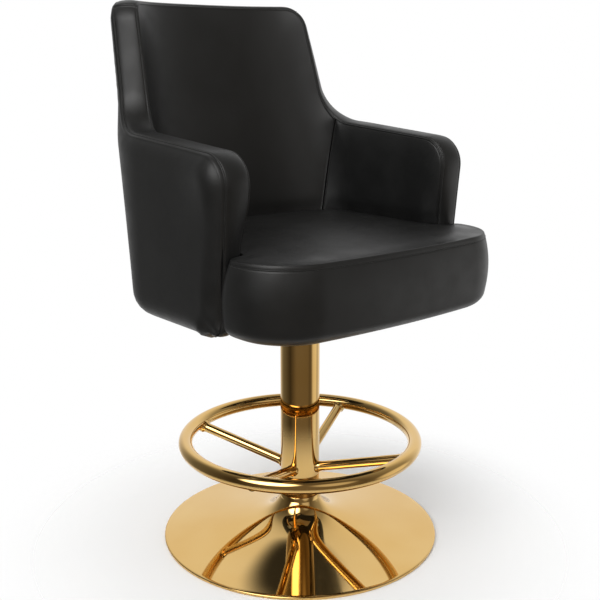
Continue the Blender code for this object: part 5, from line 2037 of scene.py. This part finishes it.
@dataclass
class Studio:
    """Pale mat that fades into white, a plain level of light with one soft window, and the camera.

    In mirrors the surroundings are white behind the stool and dim on the camera's side, with the window,
    two glows and a dark patch, so that polished gold and black leather keep their contrast.
    """

    floor_half: float = 2.0
    floor_colour: Triple = (0.84, 0.84, 0.835)
    floor_solid: float = 0.30
    floor_fade: float = 0.34
    plain_level: float = 0.74
    camera_place: Triple = (-1.1397, -1.3582, 0.9137)
    camera_pitch: float = 13.93
    camera_turn: float = 40.0
    lens: float = 57.72
    sensor_width: float = 36.0
    surroundings: tuple[tuple[float, Triple], ...] = (
        (0.00, (0.190, 0.160, 0.125)),
        (0.17, (0.180, 0.150, 0.115)),
        (0.25, (0.120, 0.100, 0.075)),
        (0.36, (0.200, 0.175, 0.145)),
        (0.50, (0.300, 0.285, 0.260)),
        (0.67, (0.400, 0.392, 0.375)),
        (0.88, (1.000, 1.000, 1.000)),
        (1.00, (1.000, 1.000, 1.000)),
    )
    left_dimming: float = 0.58
    window: Spot = Spot(-32.0, 40.0, 9.0, 28.0, 5.2)
    right_glow: Spot = Spot(94.0, -10.0, 6.0, 27.0, 0.62)
    front_glow: Spot = Spot(32.0, 25.0, 4.0, 25.0, 0.50)
    dark_patch: Spot = Spot(-179.0, 47.0, 3.5, 9.0, 0.04)
    lamp_place: Triple = (0.1, 0.2, 2.7)
    lamp_target: Triple = (0.0, 0.0, 0.6)
    lamp_size: float = 1.2
    lamp_power: float = 3.0

    def camera(self) -> None:
        """Sets the camera at the photograph's viewing angle."""
        data = bpy.data.cameras.new("camera")
        data.lens = self.lens
        data.sensor_width = self.sensor_width
        camera = bpy.data.objects.new("camera", data)
        camera.location = self.camera_place
        camera.rotation_euler = (math.radians(90 - self.camera_pitch), 0, -math.radians(self.camera_turn))
        bpy.context.scene.collection.objects.link(camera)
        bpy.context.scene.camera = camera

    def floor(self) -> None:
        """Lays a pale mat that fades away round the base."""
        half = self.floor_half
        corners = [(-half, -half, 0), (half, -half, 0), (half, half, 0), (-half, half, 0)]
        mesh = bpy.data.meshes.new("studio_floor")
        mesh.from_pydata(corners, [], [(0, 1, 2, 3)])
        shader = Shader("studio floor")
        shader.set(Base_Color=self.floor_colour, Roughness=0.9, Specular_IOR_Level=0.0)
        reach = shader.add("VectorMath", {0: shader.position}, operation="LENGTH")
        inputs = {
            "Value": reach.outputs["Value"],
            "From Min": self.floor_solid,
            "From Max": self.floor_solid + self.floor_fade,
            "To Min": 1.0,
            "To Max": 0.0,
        }
        fade = shader.add("MapRange", inputs, interpolation_type="SMOOTHSTEP")
        shader.link(fade.outputs["Result"], "Alpha")
        mesh.materials.append(shader.material)
        floor = bpy.data.objects.new("studio_floor", mesh)
        bpy.context.scene.collection.objects.link(floor)

    def direction(self, azimuth: float, elevation: float) -> Vector:
        """Unit vector towards a place in the surroundings.

        Args:
            azimuth: degrees from the camera's side towards the right of the picture.
            elevation: degrees above the horizon.

        Returns:
            The vector.
        """
        turn = math.radians(self.camera_turn)
        away = Vector((math.sin(turn), math.cos(turn), 0.0))
        right = Vector((math.cos(turn), -math.sin(turn), 0.0))
        level = math.cos(math.radians(elevation))
        across = right * math.sin(math.radians(azimuth)) - away * math.cos(math.radians(azimuth))
        return across * level + Vector((0.0, 0.0, math.sin(math.radians(elevation))))

    def spot(self, sky: Sky, spot: Spot, around: float = 0.0) -> Socket:
        """Makes a spot.

        Args:
            sky: the world's nodes.
            spot: the spot.
            around: the value outside it.

        Returns:
            The value by direction.
        """
        middle = sky.towards(self.direction(spot.azimuth, spot.elevation))
        core, edge = math.cos(math.radians(spot.core)), math.cos(math.radians(spot.edge))
        return sky.share(middle, edge, core, around, spot.level)

    def world(self) -> None:
        """Sets the surroundings: white for the camera, plain as light, and white to dim in mirrors."""
        world = bpy.data.worlds.new("studio")
        bpy.context.scene.world = world
        world.use_nodes = True
        sky = Sky(world.node_tree)
        away = sky.towards(self.direction(180.0, 0.0))
        base = sky.ramp(sky.share(away, -1.0, 1.0, 0.0, 1.0), self.surroundings)
        right = sky.towards(self.direction(90.0, 0.0))
        dimmed = sky.scale(base, sky.share(right, -0.9, -0.2, 1.0 - self.left_dimming, 1.0))
        window = self.spot(sky, self.window)
        glows = sky.plus(self.spot(sky, self.right_glow), self.spot(sky, self.front_glow))
        kept = self.spot(sky, self.dark_patch, around=1.0)
        mirrored = sky.scale(sky.plus(sky.plus(dimmed, glows), window), kept)
        lit = sky.plus(sky.grey(self.plain_level), window)
        reflected = sky.pick(sky.either("Is Glossy Ray", "Is Transmission Ray"), lit, mirrored)
        seen = sky.pick(sky.path.outputs["Is Camera Ray"], reflected, sky.grey(1.0))
        sky.finish(seen)

    def lamp(self) -> None:
        """Hangs a weak soft light overhead, unseen in mirrors."""
        data = bpy.data.lights.new("overhead", "AREA")
        data.shape = "RECTANGLE"
        data.size = self.lamp_size
        data.size_y = self.lamp_size
        data.energy = self.lamp_power
        lamp = bpy.data.objects.new("overhead", data)
        lamp.location = self.lamp_place
        aim = Vector(self.lamp_target) - Vector(self.lamp_place)
        lamp.rotation_euler = aim.to_track_quat("-Z", "Y").to_euler()
        lamp.visible_glossy = False
        bpy.context.scene.collection.objects.link(lamp)

    def build(self) -> None:
        """Sets the whole studio."""
        bpy.context.scene.view_settings.view_transform = "Standard"
        self.camera()
        self.floor()
        self.world()
        self.lamp()


def main() -> None:
    """Builds the studio and the stool, and reports each piece."""
    logging.basicConfig(level=logging.INFO, format="%(name)s: %(message)s")
    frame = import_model()
    palette = Palette()
    Studio().build()
    form = ShellForm()
    parts = (TrumpetBase(), Column(), FootRest(), BucketShell(form, Rim(form)), SeatCushion(form))
    for part in parts:
        for piece in part.build(palette):
            log.info("%s: %d faces", piece.name, len(piece.data.polygons))
    slots = {row["node"]: row["material_slot"] for row in frame["record"]["subparts"]}
    gear = HiddenGear(dict(frame["nodes"]), slots)
    log.info("%d packed nodes dressed", gear.dress(palette))


if __name__ == "__main__":
    main()
